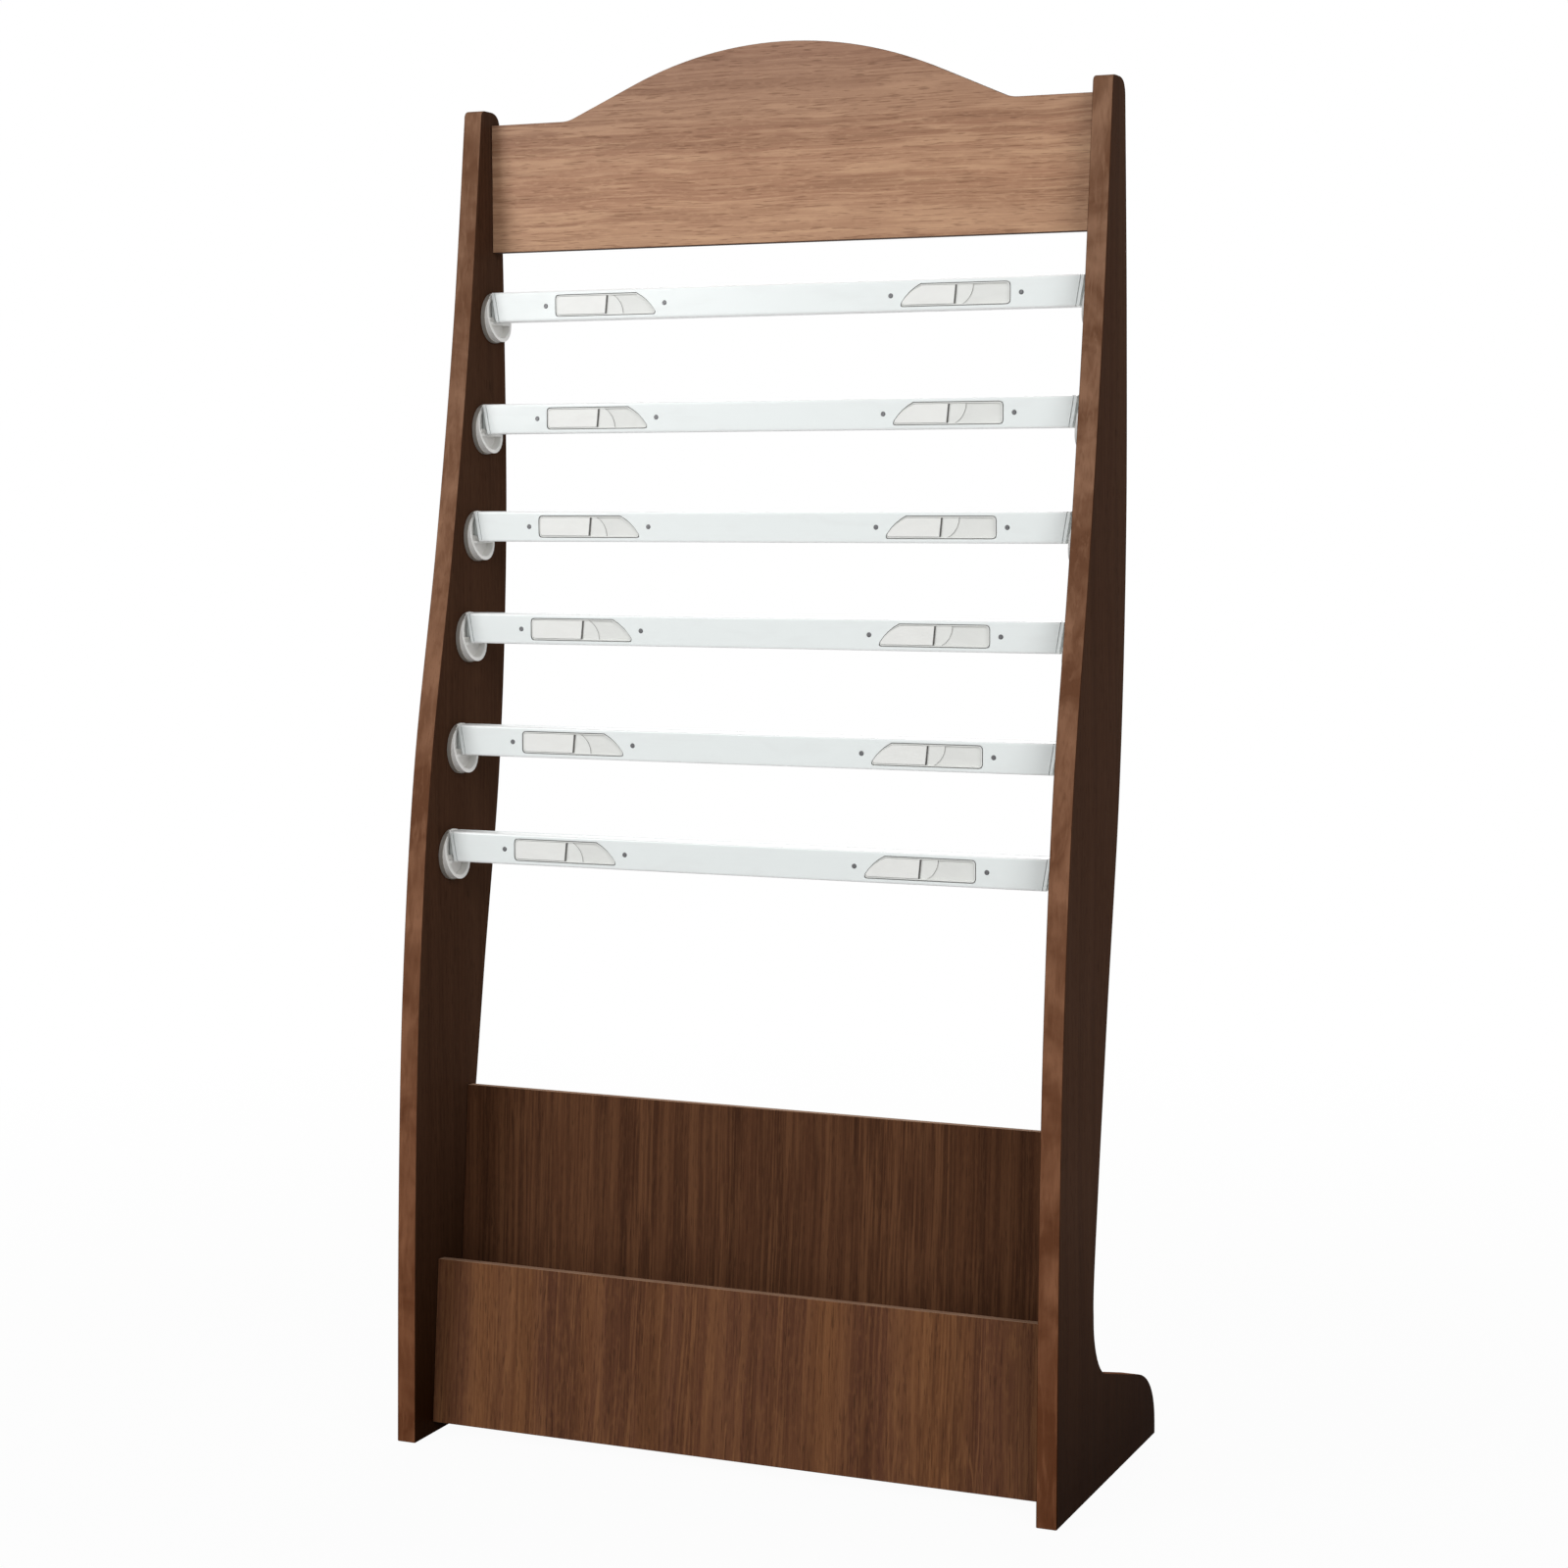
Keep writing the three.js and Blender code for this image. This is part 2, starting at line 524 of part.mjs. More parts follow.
const HOUSING_FRONT = -BAR_FRONT + HOUSING_RECESS;
const FLANGE_FRONT = -BAR_FRONT + BAR_WALL + SEAT_GAP;
const FLANGE_BACK = FLANGE_FRONT + HOUSING_FLANGE;
const TRACK_FLOOR = HOUSING_FRONT + TRACK_DEPTH;
const SLIDER_INSET = WINDOW_SEAM + TRACK_RIM + SLIDER_CLEARANCE;
const SLIDER_MIDDLE = (SLIDER_END_OFFSET - WINDOW_LENGTH / 2 + SLIDER_INSET) / 2;

// Housing: a plug in the window on a flange behind it, with a track, a scoop and a slot
function housingGeometry(side) {
  const flangeLow = BAR_WALL + HOUSING_FLANGE_CLEARANCE;
  const flangeHigh = BAR_HEIGHT - BAR_WALL - HOUSING_FLANGE_CLEARANCE;
  const flangeHalf = WINDOW_LENGTH / 2 + HOUSING_EAR;
  const slotHalf = SHANK_LENGTH / 2 + SLIDER_CLEARANCE;
  const slotHigh = SHANK_HEIGHT / 2 + SLIDER_CLEARANCE;
  const middle = BAR_HEIGHT / 2;
  const trackInset = WINDOW_SEAM + TRACK_RIM;
  const plug = windowSolid(side, WINDOW_SEAM, HOUSING_FRONT, FLANGE_BACK);
  const flange = toSolid(boxBetween(
    [-flangeHalf, FLANGE_FRONT, flangeLow],
    [flangeHalf, FLANGE_BACK, flangeHigh],
  ));
  const track = windowSolid(side, trackInset, HOUSING_FRONT - OVERCUT, TRACK_FLOOR);
  // The scoop's edge curves about the track's lower side on the left, and its upper one on the right
  const scoopX = SLIDER_END_OFFSET + SCOOP_REACH - SCOOP_RADIUS;
  const scoopZ = middle + side * (WINDOW_HEIGHT / 2 - trackInset);
  const scoopEdge = new THREE.CylinderGeometry(SCOOP_RADIUS, SCOOP_RADIUS, 2 * BAR_FRONT, ROUND_STEPS * 2);
  const scoopHalf = toSolid(boxBetween(
    [SLIDER_END_OFFSET, HOUSING_FRONT, WINDOW_LOW],
    [WINDOW_LENGTH / 2, TRACK_FLOOR + SCOOP_DEPTH, WINDOW_LOW + WINDOW_HEIGHT],
  ));
  const scoop = windowSolid(side, trackInset, HOUSING_FRONT, TRACK_FLOOR + SCOOP_DEPTH)
    .intersect(scoopHalf)
    .subtract(toSolid(scoopEdge.translate(scoopX, 0, scoopZ)));
  const slot = toSolid(boxBetween(
    [SLIDER_MIDDLE - slotHalf, HOUSING_FRONT - OVERCUT, middle - slotHigh],
    [SLIDER_MIDDLE + slotHalf + SLIDER_TRAVEL, FLANGE_BACK + OVERCUT, middle + slotHigh],
  ));
  return toGeometry(plug.add(flange).subtract(track).subtract(scoop).subtract(slot));
}

// Slider: a finger plate in the track, a shank through the slot and a keeper behind the flange
function sliderGeometry(side) {
  const middle = BAR_HEIGHT / 2;
  const plateBack = TRACK_FLOOR - SEAT_GAP;
  const keeperFront = FLANGE_BACK + SEAT_GAP;
  const plate = keepWithin(
    windowSolid(side, SLIDER_INSET, -BAR_FRONT - SLIDER_PROUD, plateBack),
    SLIDER_END_OFFSET - SLIDER_END_SLANT_RATIO * middle,
    SLIDER_END_SLANT_RATIO,
  );
  const along = (length) => [SLIDER_MIDDLE - length / 2, SLIDER_MIDDLE + length / 2];
  const [shankFrom, shankTo] = along(SHANK_LENGTH);
  const [keeperFrom, keeperTo] = along(KEEPER_LENGTH);
  const shank = toSolid(boxBetween(
    [shankFrom, plateBack - SLIDER_PROUD, middle - SHANK_HEIGHT / 2],
    [shankTo, keeperFront + KEEPER_THICKNESS / 2, middle + SHANK_HEIGHT / 2],
  ));
  const keeper = toSolid(boxBetween(
    [keeperFrom, keeperFront, middle - KEEPER_HEIGHT / 2],
    [keeperTo, keeperFront + KEEPER_THICKNESS, middle + KEEPER_HEIGHT / 2],
  ));
  return toGeometry(plate.add(shank).add(keeper));
}

function buildClamp(row, number) {
  const clamp = new THREE.Group();
  clamp.position.set(0, -BAR_FORWARD, -BAR_DROP);
  row.add(clamp);
  addPiece(clamp, `bar_${number}_back_rail`, railGeometry(), whiteAluminium());
  addPiece(clamp, `bar_${number}_grip_strip`, gripGeometry(), greyRubber());
  addPiece(clamp, `bar_${number}_front_jaw`, jawGeometry(), whiteAluminium());
  for (const [sideName, side] of [['left', -1], ['right', 1]]) {
    const shift = side * LATCH_OFFSET;
    const housing = housingGeometry(side).translate(shift, 0, 0);
    const slider = sliderGeometry(side).translate(shift, 0, 0);
    addPiece(clamp, `bar_${number}_latch_housing_${sideName}`, housing, whitePlastic());
    addPiece(clamp, `bar_${number}_latch_slider_${sideName}`, slider, whitePlastic());
  }
}

function buildRows(rack) {
  ROW_DROPS.forEach((drop, index) => {
    const row = new THREE.Group();
    row.position.set(
      0,
      FRONT_OF_FOOT + FIRST_ROW_SETBACK - drop * ROW_LEAN_RATIO,
      PANEL_HEIGHT - FIRST_ROW_BELOW_TOP - drop,
    );
    rack.add(row);
    buildHolders(row, index + 1);
    buildClamp(row, index + 1);
  });
}

const rack = new THREE.Group();
buildPanels(rack);
buildHeader(rack);
buildTrough(rack);
buildRows(rack);

export default rack;
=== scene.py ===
"""Looks of the periodical display rack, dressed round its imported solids.

Lengths are in metres in the rack's own frame: X along the bars, Y from front to back, Z up.
"""

import json
import logging
import math
from dataclasses import dataclass
from enum import Enum
from typing import Any, Callable, ClassVar

import bmesh
import bpy
from mathutils import Matrix, Vector

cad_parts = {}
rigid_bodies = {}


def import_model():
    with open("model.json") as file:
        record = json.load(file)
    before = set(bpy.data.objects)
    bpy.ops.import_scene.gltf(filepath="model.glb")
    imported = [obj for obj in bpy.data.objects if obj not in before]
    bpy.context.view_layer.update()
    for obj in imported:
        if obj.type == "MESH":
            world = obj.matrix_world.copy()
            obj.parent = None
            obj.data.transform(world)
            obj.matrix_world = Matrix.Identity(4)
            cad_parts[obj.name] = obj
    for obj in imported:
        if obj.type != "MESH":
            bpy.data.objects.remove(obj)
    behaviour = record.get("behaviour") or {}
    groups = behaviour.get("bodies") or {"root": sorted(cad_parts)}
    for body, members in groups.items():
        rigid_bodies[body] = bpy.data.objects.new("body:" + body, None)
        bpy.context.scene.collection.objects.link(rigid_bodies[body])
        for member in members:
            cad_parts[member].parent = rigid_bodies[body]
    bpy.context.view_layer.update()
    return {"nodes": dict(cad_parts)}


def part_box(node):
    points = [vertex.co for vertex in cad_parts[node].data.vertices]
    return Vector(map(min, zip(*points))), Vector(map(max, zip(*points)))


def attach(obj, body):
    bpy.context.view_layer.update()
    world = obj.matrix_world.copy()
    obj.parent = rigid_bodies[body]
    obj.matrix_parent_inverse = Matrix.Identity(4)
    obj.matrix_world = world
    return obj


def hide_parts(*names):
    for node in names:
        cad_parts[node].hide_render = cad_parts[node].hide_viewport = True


LOG = logging.getLogger("rack")
# Faces on edges: a laminate's edge band, and the coat's long edges, which get a painted highlight
EDGE_MASK = "edge_mask"
# Faces that get painted shade: latch window and plug walls, thumb scoop and thumb end, holders' step and
# base side
PAINTED_SHADE_MASK = "seam_mask"
MILLIMETRE = 0.001
ROWS = range(1, 7)
SIDES = ("left", "right")
NOISE_MIDDLE = 0.5  # the mean level of a noise

# Least part of a face's normal along an axis, for a face that is level with it, square or leaning
LEVEL_ON = 0.97
SQUARE_ON = 0.9
HALF_ON = 0.5

# Sockets of the nodes whose sockets share one name
MIX_SHARE, MIX_FIRST, MIX_SECOND, MIX_RESULT = 0, 6, 7, 2
RANDOM_LEAST, RANDOM_MOST, RANDOM_RESULT = 2, 3, 1

Triple = tuple[float, float, float]
FaceMask = Callable[[bpy.types.MeshPolygon], float]
Shaping = Callable[[bmesh.types.BMesh], None]


# Shader toolkit


@dataclass(frozen=True)
class Step:
    """A soft step from one level to another, and how much of it shows."""

    low: float
    high: float
    share: float = 1.0


class Signal:
    """An output socket whose arithmetic adds Math nodes to its tree."""

    def __init__(self, sheet: "NodeSheet", socket: bpy.types.NodeSocket | None) -> None:
        """Keep the tree and the socket.

        Args:
            sheet: The tree that the socket is in.
            socket: The output that carries the value, which the last node of a tree lacks.
        """
        self.sheet = sheet
        self.socket = socket

    def _math(self, operation: str, first: Any, second: Any) -> "Signal":
        """Add one Math node.

        Args:
            operation: The node's operation.
            first: A signal or a number.
            second: A signal or a number.

        Returns:
            The node's result.
        """
        return self.sheet.add("ShaderNodeMath", {"operation": operation}, {0: first, 1: second})

    def __add__(self, other: Any) -> "Signal":
        """Sum."""
        return self._math("ADD", self, other)

    def __radd__(self, other: Any) -> "Signal":
        """Sum with a number on the left."""
        return self._math("ADD", other, self)

    def __sub__(self, other: Any) -> "Signal":
        """Difference."""
        return self._math("SUBTRACT", self, other)

    def __rsub__(self, other: Any) -> "Signal":
        """Difference with a number on the left."""
        return self._math("SUBTRACT", other, self)

    def __mul__(self, other: Any) -> "Signal":
        """Product."""
        return self._math("MULTIPLY", self, other)

    def __rmul__(self, other: Any) -> "Signal":
        """Product with a number on the left."""
        return self._math("MULTIPLY", other, self)

    def __abs__(self) -> "Signal":
        """Magnitude."""
        return self.sheet.add("ShaderNodeMath", {"operation": "ABSOLUTE"}, {0: self})


class NodeSheet:
    """The node tree of a material or a world, with one method that adds any node."""

    def __init__(self, owner: bpy.types.Material | bpy.types.World) -> None:
        """Empty the owner's tree.

        Args:
            owner: The material or the world.
        """
        owner.use_nodes = True
        self.owner = owner
        self.tree = owner.node_tree
        self.tree.nodes.clear()

    @classmethod
    def of_material(cls, name: str) -> "NodeSheet":
        """Make a material and take its tree.

        Args:
            name: The material's name.

        Returns:
            The sheet.
        """
        return cls(bpy.data.materials.new(name))

    def add(self, kind: str, settings: dict[str, Any] | None = None,
            sockets: dict[int | str, Any] | None = None, output: int | str = 0) -> Signal:
        """Add a node.

        Args:
            kind: The node's type.
            settings: Properties set before the sockets; "stops" fills a colour ramp.
            sockets: A value or a signal for each named or numbered input.
            output: Which output to return.

        Returns:
            The chosen output, empty for a node that has none.
        """
        node = self.tree.nodes.new(kind)
        for key, value in (settings or {}).items():
            if key == "stops":
                self._fill_ramp(node.color_ramp, value)
            else:
                setattr(node, key, value)
        for key, value in (sockets or {}).items():
            if isinstance(value, Signal):
                self.tree.links.new(value.socket, node.inputs[key])
            else:
                node.inputs[key].default_value = value
        return Signal(self, node.outputs[output] if node.outputs else None)

    @staticmethod
    def _fill_ramp(ramp: bpy.types.ColorRamp, stops: list[tuple[float, float]]) -> None:
        """Set a ramp's grey stops.

        Args:
            ramp: The ramp of a new node, which has two stops.
            stops: Position and grey level of both stops.
        """
        for element, (position, level) in zip(ramp.elements, stops):
            element.position = position
            element.color = (level, level, level, 1.0)

    def upright(self, lean: float) -> Signal:
        """Object coordinates with a leaning board stood upright, so that Z runs in its face.

        Args:
            lean: How far the board leans back, in radians.

        Returns:
            The turned vector.
        """
        vector = self.add("ShaderNodeTexCoord", output="Object")
        return self.add("ShaderNodeVectorRotate", {"rotation_type": "X_AXIS"},
                        {"Vector": vector, "Angle": lean})

    def swayed(self, vector: Signal, repeats: float, reach: float) -> Signal:
        """Coordinates that wander a little, so that straight lines bend.

        Args:
            vector: The coordinates.
            repeats: Bends for each metre.
            reach: The greatest distance that a point is moved, in metres.

        Returns:
            The moved vector.
        """
        drift = self.add("ShaderNodeTexNoise", None,
                         {"Vector": vector, "Scale": repeats, "Detail": 1.0}, "Color")
        middle = (NOISE_MIDDLE, NOISE_MIDDLE, NOISE_MIDDLE)
        centred = self.add("ShaderNodeVectorMath", {"operation": "SUBTRACT"}, {0: drift, 1: middle})
        sockets = {0: centred, "Scale": 2 * reach}
        scaled = self.add("ShaderNodeVectorMath", {"operation": "SCALE"}, sockets)
        return self.add("ShaderNodeVectorMath", {"operation": "ADD"}, {0: vector, 1: scaled})

    def place(self, scale: Triple, shift: Triple = (0.0, 0.0, 0.0),
              vector: Signal | None = None) -> Signal:
        """Coordinates, scaled and shifted.

        Args:
            scale: Repeats for each metre along each axis.
            shift: Moves the pattern, so that two boards don't share one figure.
            vector: What is mapped, if it isn't the plain Object coordinates.

        Returns:
            The mapped vector.
        """
        if vector is None:
            vector = self.add("ShaderNodeTexCoord", output="Object")
        return self.add("ShaderNodeMapping", None,
                        {"Vector": vector, "Location": shift, "Scale": scale})

    def noise(self, vector: Signal, detail: float = 3.0, distortion: float = 0.0,
              roughness: float = 0.5) -> Signal:
        """Fractal noise in the scale of its vector.

        Args:
            vector: The mapped coordinates.
            detail: Octaves.
            distortion: How far the noise is bent by itself.
            roughness: Weight of the finer octaves.

        Returns:
            A value about 0.5.
        """
        sockets = {"Vector": vector, "Scale": 1.0, "Detail": detail, "Roughness": roughness,
                   "Distortion": distortion}
        return self.add("ShaderNodeTexNoise", None, sockets)

    def above(self, value: Signal, step: Step) -> Signal:
        """How far a value is over a soft step.

        Args:
            value: What is stepped.
            step: The step's levels and its share.

        Returns:
            0 below the step, its share above it.
        """
        stops = [(step.low, 0.0), (step.high, step.share)]
        return self.add("ShaderNodeValToRGB", {"stops": stops}, {0: value})

    def below(self, value: Signal, step: Step) -> Signal:
        """How far a value is under a soft step.

        Args:
            value: What is stepped.
            step: The step's levels and its share.

        Returns:
            The step's share below it, 0 above it.
        """
        stops = [(step.low, step.share), (step.high, 0.0)]
        return self.add("ShaderNodeValToRGB", {"stops": stops}, {0: value})

    def mask(self, name: str) -> Signal:
        """A face attribute's value.

        Args:
            name: The attribute's name.

        Returns:
            Its value, 0 where a piece has none.
        """
        return self.add("ShaderNodeAttribute", {"attribute_name": name}, output="Fac")

    def blend(self, share: Any, first: Any, second: Any) -> Signal:
        """Mix two colours.

        Args:
            share: How much of the second colour shows.
            first: A colour or a signal.
            second: A colour or a signal.

        Returns:
            The mixed colour.
        """
        settings = {"data_type": "RGBA", "clamp_factor": True}
        sockets = {MIX_SHARE: share, MIX_FIRST: first, MIX_SECOND: second}
        return self.add("ShaderNodeMix", settings, sockets, MIX_RESULT)

    def tint(self, share: Any, colour: Any, filter_colour: Any) -> Signal:
        """Darken a colour through a tinted filter.

        Args:
            share: How strong the filter is.
            colour: A colour or a signal.
            filter_colour: What each channel is multiplied by.

        Returns:
            The tinted colour.
        """
        settings = {"data_type": "RGBA", "blend_type": "MULTIPLY", "clamp_factor": True}
        sockets = {MIX_SHARE: share, MIX_FIRST: colour, MIX_SECOND: filter_colour}
        return self.add("ShaderNodeMix", settings, sockets, MIX_RESULT)

    def bump(self, height: Signal, strength: float, distance: float) -> Signal:
        """Turn a height into a normal.

        Args:
            height: The surface's height, about 0 to 1.
            strength: How much of it shows.
            distance: The height of 1, in metres.

        Returns:
            The bent normal.
        """
        sockets = {"Strength": strength, "Distance": distance, "Height": height}
        return self.add("ShaderNodeBump", None, sockets)

    def surface(self, sockets: dict[int | str, Any]) -> bpy.types.Material:
        """End the tree in a Principled shader.

        Args:
            sockets: The shader's values and signals.

        Returns:
            The finished material.
        """
        shader = self.add("ShaderNodeBsdfPrincipled", None, sockets)
        self.add("ShaderNodeOutputMaterial", None, {"Surface": shader})
        return self.owner


# Finishes


@dataclass(frozen=True)
class Tone:
    """A linear colour."""

    red: float
    green: float
    blue: float

    def rgba(self) -> tuple[float, float, float, float]:
        """The colour with full alpha."""
        return (self.red, self.green, self.blue, 1.0)


WHITE = Tone(1.0, 1.0, 1.0)


class Grain(Enum):
    """The axis that a board's grain follows."""

    ALONG_X = 0
    ALONG_Z = 2

    def scale(self, across: float, along: float) -> Triple:
        """Repeats for each metre on each axis.

        Args:
            across: Repeats across the grain.
            along: Repeats along it.

        Returns:
            The three scales.
        """
        scales = [across, across, across]
        scales[self.value] = along
        return tuple(scales)


@dataclass(frozen=True)
class Figure:
    """Noise drawn out along the grain, with its repeats for each metre across and along it."""

    across: float
    along: float
    detail: float = 1.0
    distortion: float = 0.0
    roughness: float = 0.5

    def drawn(self, sheet: NodeSheet, grain: Grain, shift: Triple, vector: Signal | None = None,
              fineness: float = 1.0, shortness: float = 1.0) -> Signal:
        """Add the noise to a material.

        Args:
            sheet: The material's tree.
            grain: The axis of the grain.
            shift: Moves the pattern.
            vector: The coordinates, if they aren't the plain Object coordinates.
            fineness: Multiplies the repeats across the grain.
            shortness: Multiplies the repeats along it.

        Returns:
            A value about 0.5.
        """
        scale = grain.scale(self.across * fineness, self.along * shortness)
        placed = sheet.place(scale, shift, vector)
        return sheet.noise(placed, self.detail, self.distortion, self.roughness)


@dataclass(frozen=True)
class WalnutLaminate:
    """Walnut-look laminate on a board's faces, with a plainer band glued to its edges."""

    name: str
    grain: Grain
    light: Tone
    middle: Tone
    dark: Tone
    ruddy: Tone
    pore: Tone
    band_light: Tone
    band_dark: Tone
    shift: Triple
    thread_share: float
    gloss: float
    thread_width: float = 0.03
    fleck_share: float = 0.3
    shortness: float = 1.0
    fineness: float = 1.0
    sway: tuple[float, float] = (3.0, 0.012)
    lean: float = 0.0
    contrast: float = 1.0
    roughness: float = 0.46
    # Filters of painted shade that darken the faces and the edge band by height
    painted_shade_filter: Tone = WHITE
    painted_shade_heights: tuple[float, float] = (0.0, 1.0)
    band_grain: Grain = Grain.ALONG_X
    band_shade_filter: Tone = WHITE
    band_shade_heights: tuple[float, float] = (1.1, 0.1)

    LEAVES: ClassVar[Figure] = Figure(17.0, 0.5, roughness=0.6)
    BANDS: ClassVar[Figure] = Figure(70.0, 0.8, detail=2.0, roughness=0.6)
    LINES: ClassVar[Figure] = Figure(400.0, 1.0, detail=2.0, roughness=0.6)
    LINED_PATCHES: ClassVar[Figure] = Figure(26.0, 1.6, roughness=0.6)
    CONTOUR: ClassVar[Figure] = Figure(60.0, 0.8, detail=2.0, roughness=0.6)
    THREAD_BREAKS: ClassVar[Figure] = Figure(50.0, 9.0, roughness=0.6)
    FIBRE: ClassVar[Figure] = Figure(600.0, 4.0, detail=2.0, distortion=0.1)
    DASHES: ClassVar[Figure] = Figure(800.0, 55.0)
    SPECKS: ClassVar[Figure] = Figure(420.0, 90.0)
    BAND_STREAKS: ClassVar[Figure] = Figure(190.0, 24.0, detail=4.0, distortion=0.7)
    BAND_BLOTCHES: ClassVar[Triple] = (16.0, 14.0, 14.0)
    HAZE: ClassVar[Triple] = (7.0, 7.0, 7.0)

    RUDDY_LEAVES: ClassVar[Step] = Step(0.42, 0.58)
    DARK_BANDS: ClassVar[Step] = Step(0.48, 0.66, 0.65)
    LIGHT_BANDS: ClassVar[Step] = Step(0.32, 0.48, 0.35)
    DARK_LINES: ClassVar[Step] = Step(0.5, 0.64, 0.42)
    LIGHT_LINES: ClassVar[Step] = Step(0.36, 0.48, 0.34)
    LINED: ClassVar[Step] = Step(0.36, 0.62)
    LEAST_LINED: ClassVar[float] = 0.25
    THREAD_CORE: ClassVar[float] = 0.004
    UNBROKEN: ClassVar[Step] = Step(0.42, 0.56)
    LIGHT_FIBRES: ClassVar[Step] = Step(0.35, 0.7, 0.25)
    LIGHT_SPECKS: ClassVar[Step] = Step(0.52, 0.8)
    PORES: ClassVar[Step] = Step(0.6, 0.7)
    PORE_SHARE: ClassVar[float] = 0.45
    BAND_PORE_SHARE: ClassVar[float] = 0.12
    DARK_BLOTCHES: ClassVar[Step] = Step(0.34, 0.66)
    DARK_STREAKS: ClassVar[Step] = Step(0.5, 0.7, 0.55)
    LIGHT_STREAKS: ClassVar[Step] = Step(0.3, 0.46, 0.5)

    FIBRE_WEAR: ClassVar[float] = 0.16
    PORE_WEAR: ClassVar[float] = 0.1
    HAZE_WEAR: ClassVar[float] = 0.1
    BAND_WEAR: ClassVar[float] = 0.3

    def _face(self, sheet: NodeSheet, stood: Signal, fibre: Signal, pores: Signal) -> Signal:
        """Colour of the board's faces.

        Args:
            sheet: The material's tree.
            stood: The coordinates of the board stood upright.
            fibre: The finest streaks.
            pores: The short dark pores.

        Returns:
            The colour.
        """
        bent = sheet.swayed(stood, *self.sway)

        def drawn(figure: Figure) -> Signal:
            """A figure in the board's own scale, on the bent coordinates."""
            return figure.drawn(sheet, self.grain, self.shift, bent, self.fineness, self.shortness)

        bands = drawn(self.BANDS)
        lines = drawn(self.LINES)
        thread = Step(self.THREAD_CORE, self.thread_width, self.thread_share)
        threads = sheet.below(abs(drawn(self.CONTOUR) - NOISE_MIDDLE), thread)
        unbroken = sheet.above(drawn(self.THREAD_BREAKS), self.UNBROKEN)
        lined = (self.LEAST_LINED + sheet.above(drawn(self.LINED_PATCHES), self.LINED)) * self.contrast
        speck = self.SPECKS.drawn(sheet, self.grain, self.shift, stood, shortness=self.shortness)
        layers = (
            (sheet.above(bands, self.DARK_BANDS) * self.contrast, self.dark),
            (sheet.below(bands, self.LIGHT_BANDS) * self.contrast, self.light),
            (sheet.above(lines, self.DARK_LINES) * lined, self.dark),
            (sheet.below(lines, self.LIGHT_LINES) * lined, self.light),
            (threads * unbroken, self.light),
            (sheet.above(fibre, self.LIGHT_FIBRES), self.light),
            (sheet.above(speck, self.LIGHT_SPECKS) * self.fleck_share, self.light),
            (pores * self.PORE_SHARE, self.pore),
        )
        leaves = sheet.above(drawn(self.LEAVES), self.RUDDY_LEAVES)
        colour = sheet.blend(leaves, self.middle.rgba(), self.ruddy.rgba())
        for share, tone in layers:
            colour = sheet.blend(share, colour, tone.rgba())
        # Painted shade, darker by height
        return sheet.tint(self._shade_by_height(sheet, self.painted_shade_heights), colour, self.painted_shade_filter.rgba())

    def _band(self, sheet: NodeSheet, pores: Signal) -> Signal:
        """Colour of the edge band, mottled and finely streaked.

        Args:
            sheet: The material's tree.
            pores: The short dark pores.

        Returns:
            The colour.
        """
        blotch = sheet.noise(sheet.place(self.BAND_BLOTCHES, self.shift), distortion=1.0)
        streaks = self.BAND_STREAKS.drawn(sheet, self.band_grain, self.shift)
        light = self.band_light.rgba()
        dark = self.band_dark.rgba()
        colour = sheet.blend(sheet.above(blotch, self.DARK_BLOTCHES), light, dark)
        colour = sheet.blend(sheet.above(streaks, self.DARK_STREAKS), colour, dark)
        colour = sheet.blend(sheet.below(streaks, self.LIGHT_STREAKS), colour, light)
        # Painted shade on the band, darker by height
        colour = sheet.tint(self._shade_by_height(sheet, self.band_shade_heights), colour, self.band_shade_filter.rgba())
        return sheet.blend(pores * self.BAND_PORE_SHARE, colour, self.pore.rgba())

    @staticmethod
    def _shade_by_height(sheet: NodeSheet, heights: tuple[float, float]) -> Signal:
        """How far a filter of painted shade shows at each height.

        Args:
            sheet: The material's tree.
            heights: Where the filter starts and where it is full.

        Returns:
            0 at the first height, 1 at the second.
        """
        spot = sheet.add("ShaderNodeTexCoord", output="Object")
        height = sheet.add("ShaderNodeSeparateXYZ", None, {0: spot}, "Z")
        clear, full = heights
        return sheet.above((height - clear) * (1 / (full - clear)), Step(0.0, 1.0))

    def build(self) -> bpy.types.Material:
        """Make the material.

        Returns:
            Laminate with bands, lines, threads, pores, a soft sheen, an edge band and painted shade by
            height.
        """
        sheet = NodeSheet.of_material(self.name)
        stood = sheet.upright(self.lean)
        fibre = self.FIBRE.drawn(sheet, self.grain, self.shift, stood, shortness=self.shortness)
        pores = sheet.above(self.DASHES.drawn(sheet, self.grain, self.shift, stood), self.PORES)
        face = self._face(sheet, stood, fibre, pores)
        banded = sheet.mask(EDGE_MASK)
        haze = sheet.noise(sheet.place(self.HAZE, self.shift), detail=2.0)
        worn = (fibre - NOISE_MIDDLE) * self.FIBRE_WEAR + pores * self.PORE_WEAR
        worn = worn + (haze - NOISE_MIDDLE) * self.HAZE_WEAR + banded * self.BAND_WEAR
        return sheet.surface({
            "Base Color": sheet.blend(banded, face, self._band(sheet, pores)),
            "Roughness": self.roughness + worn,
            "Specular IOR Level": self.gloss,
            "Normal": sheet.bump(fibre * 0.5 + (1 - pores), strength=0.16, distance=0.3 * MILLIMETRE),
        })


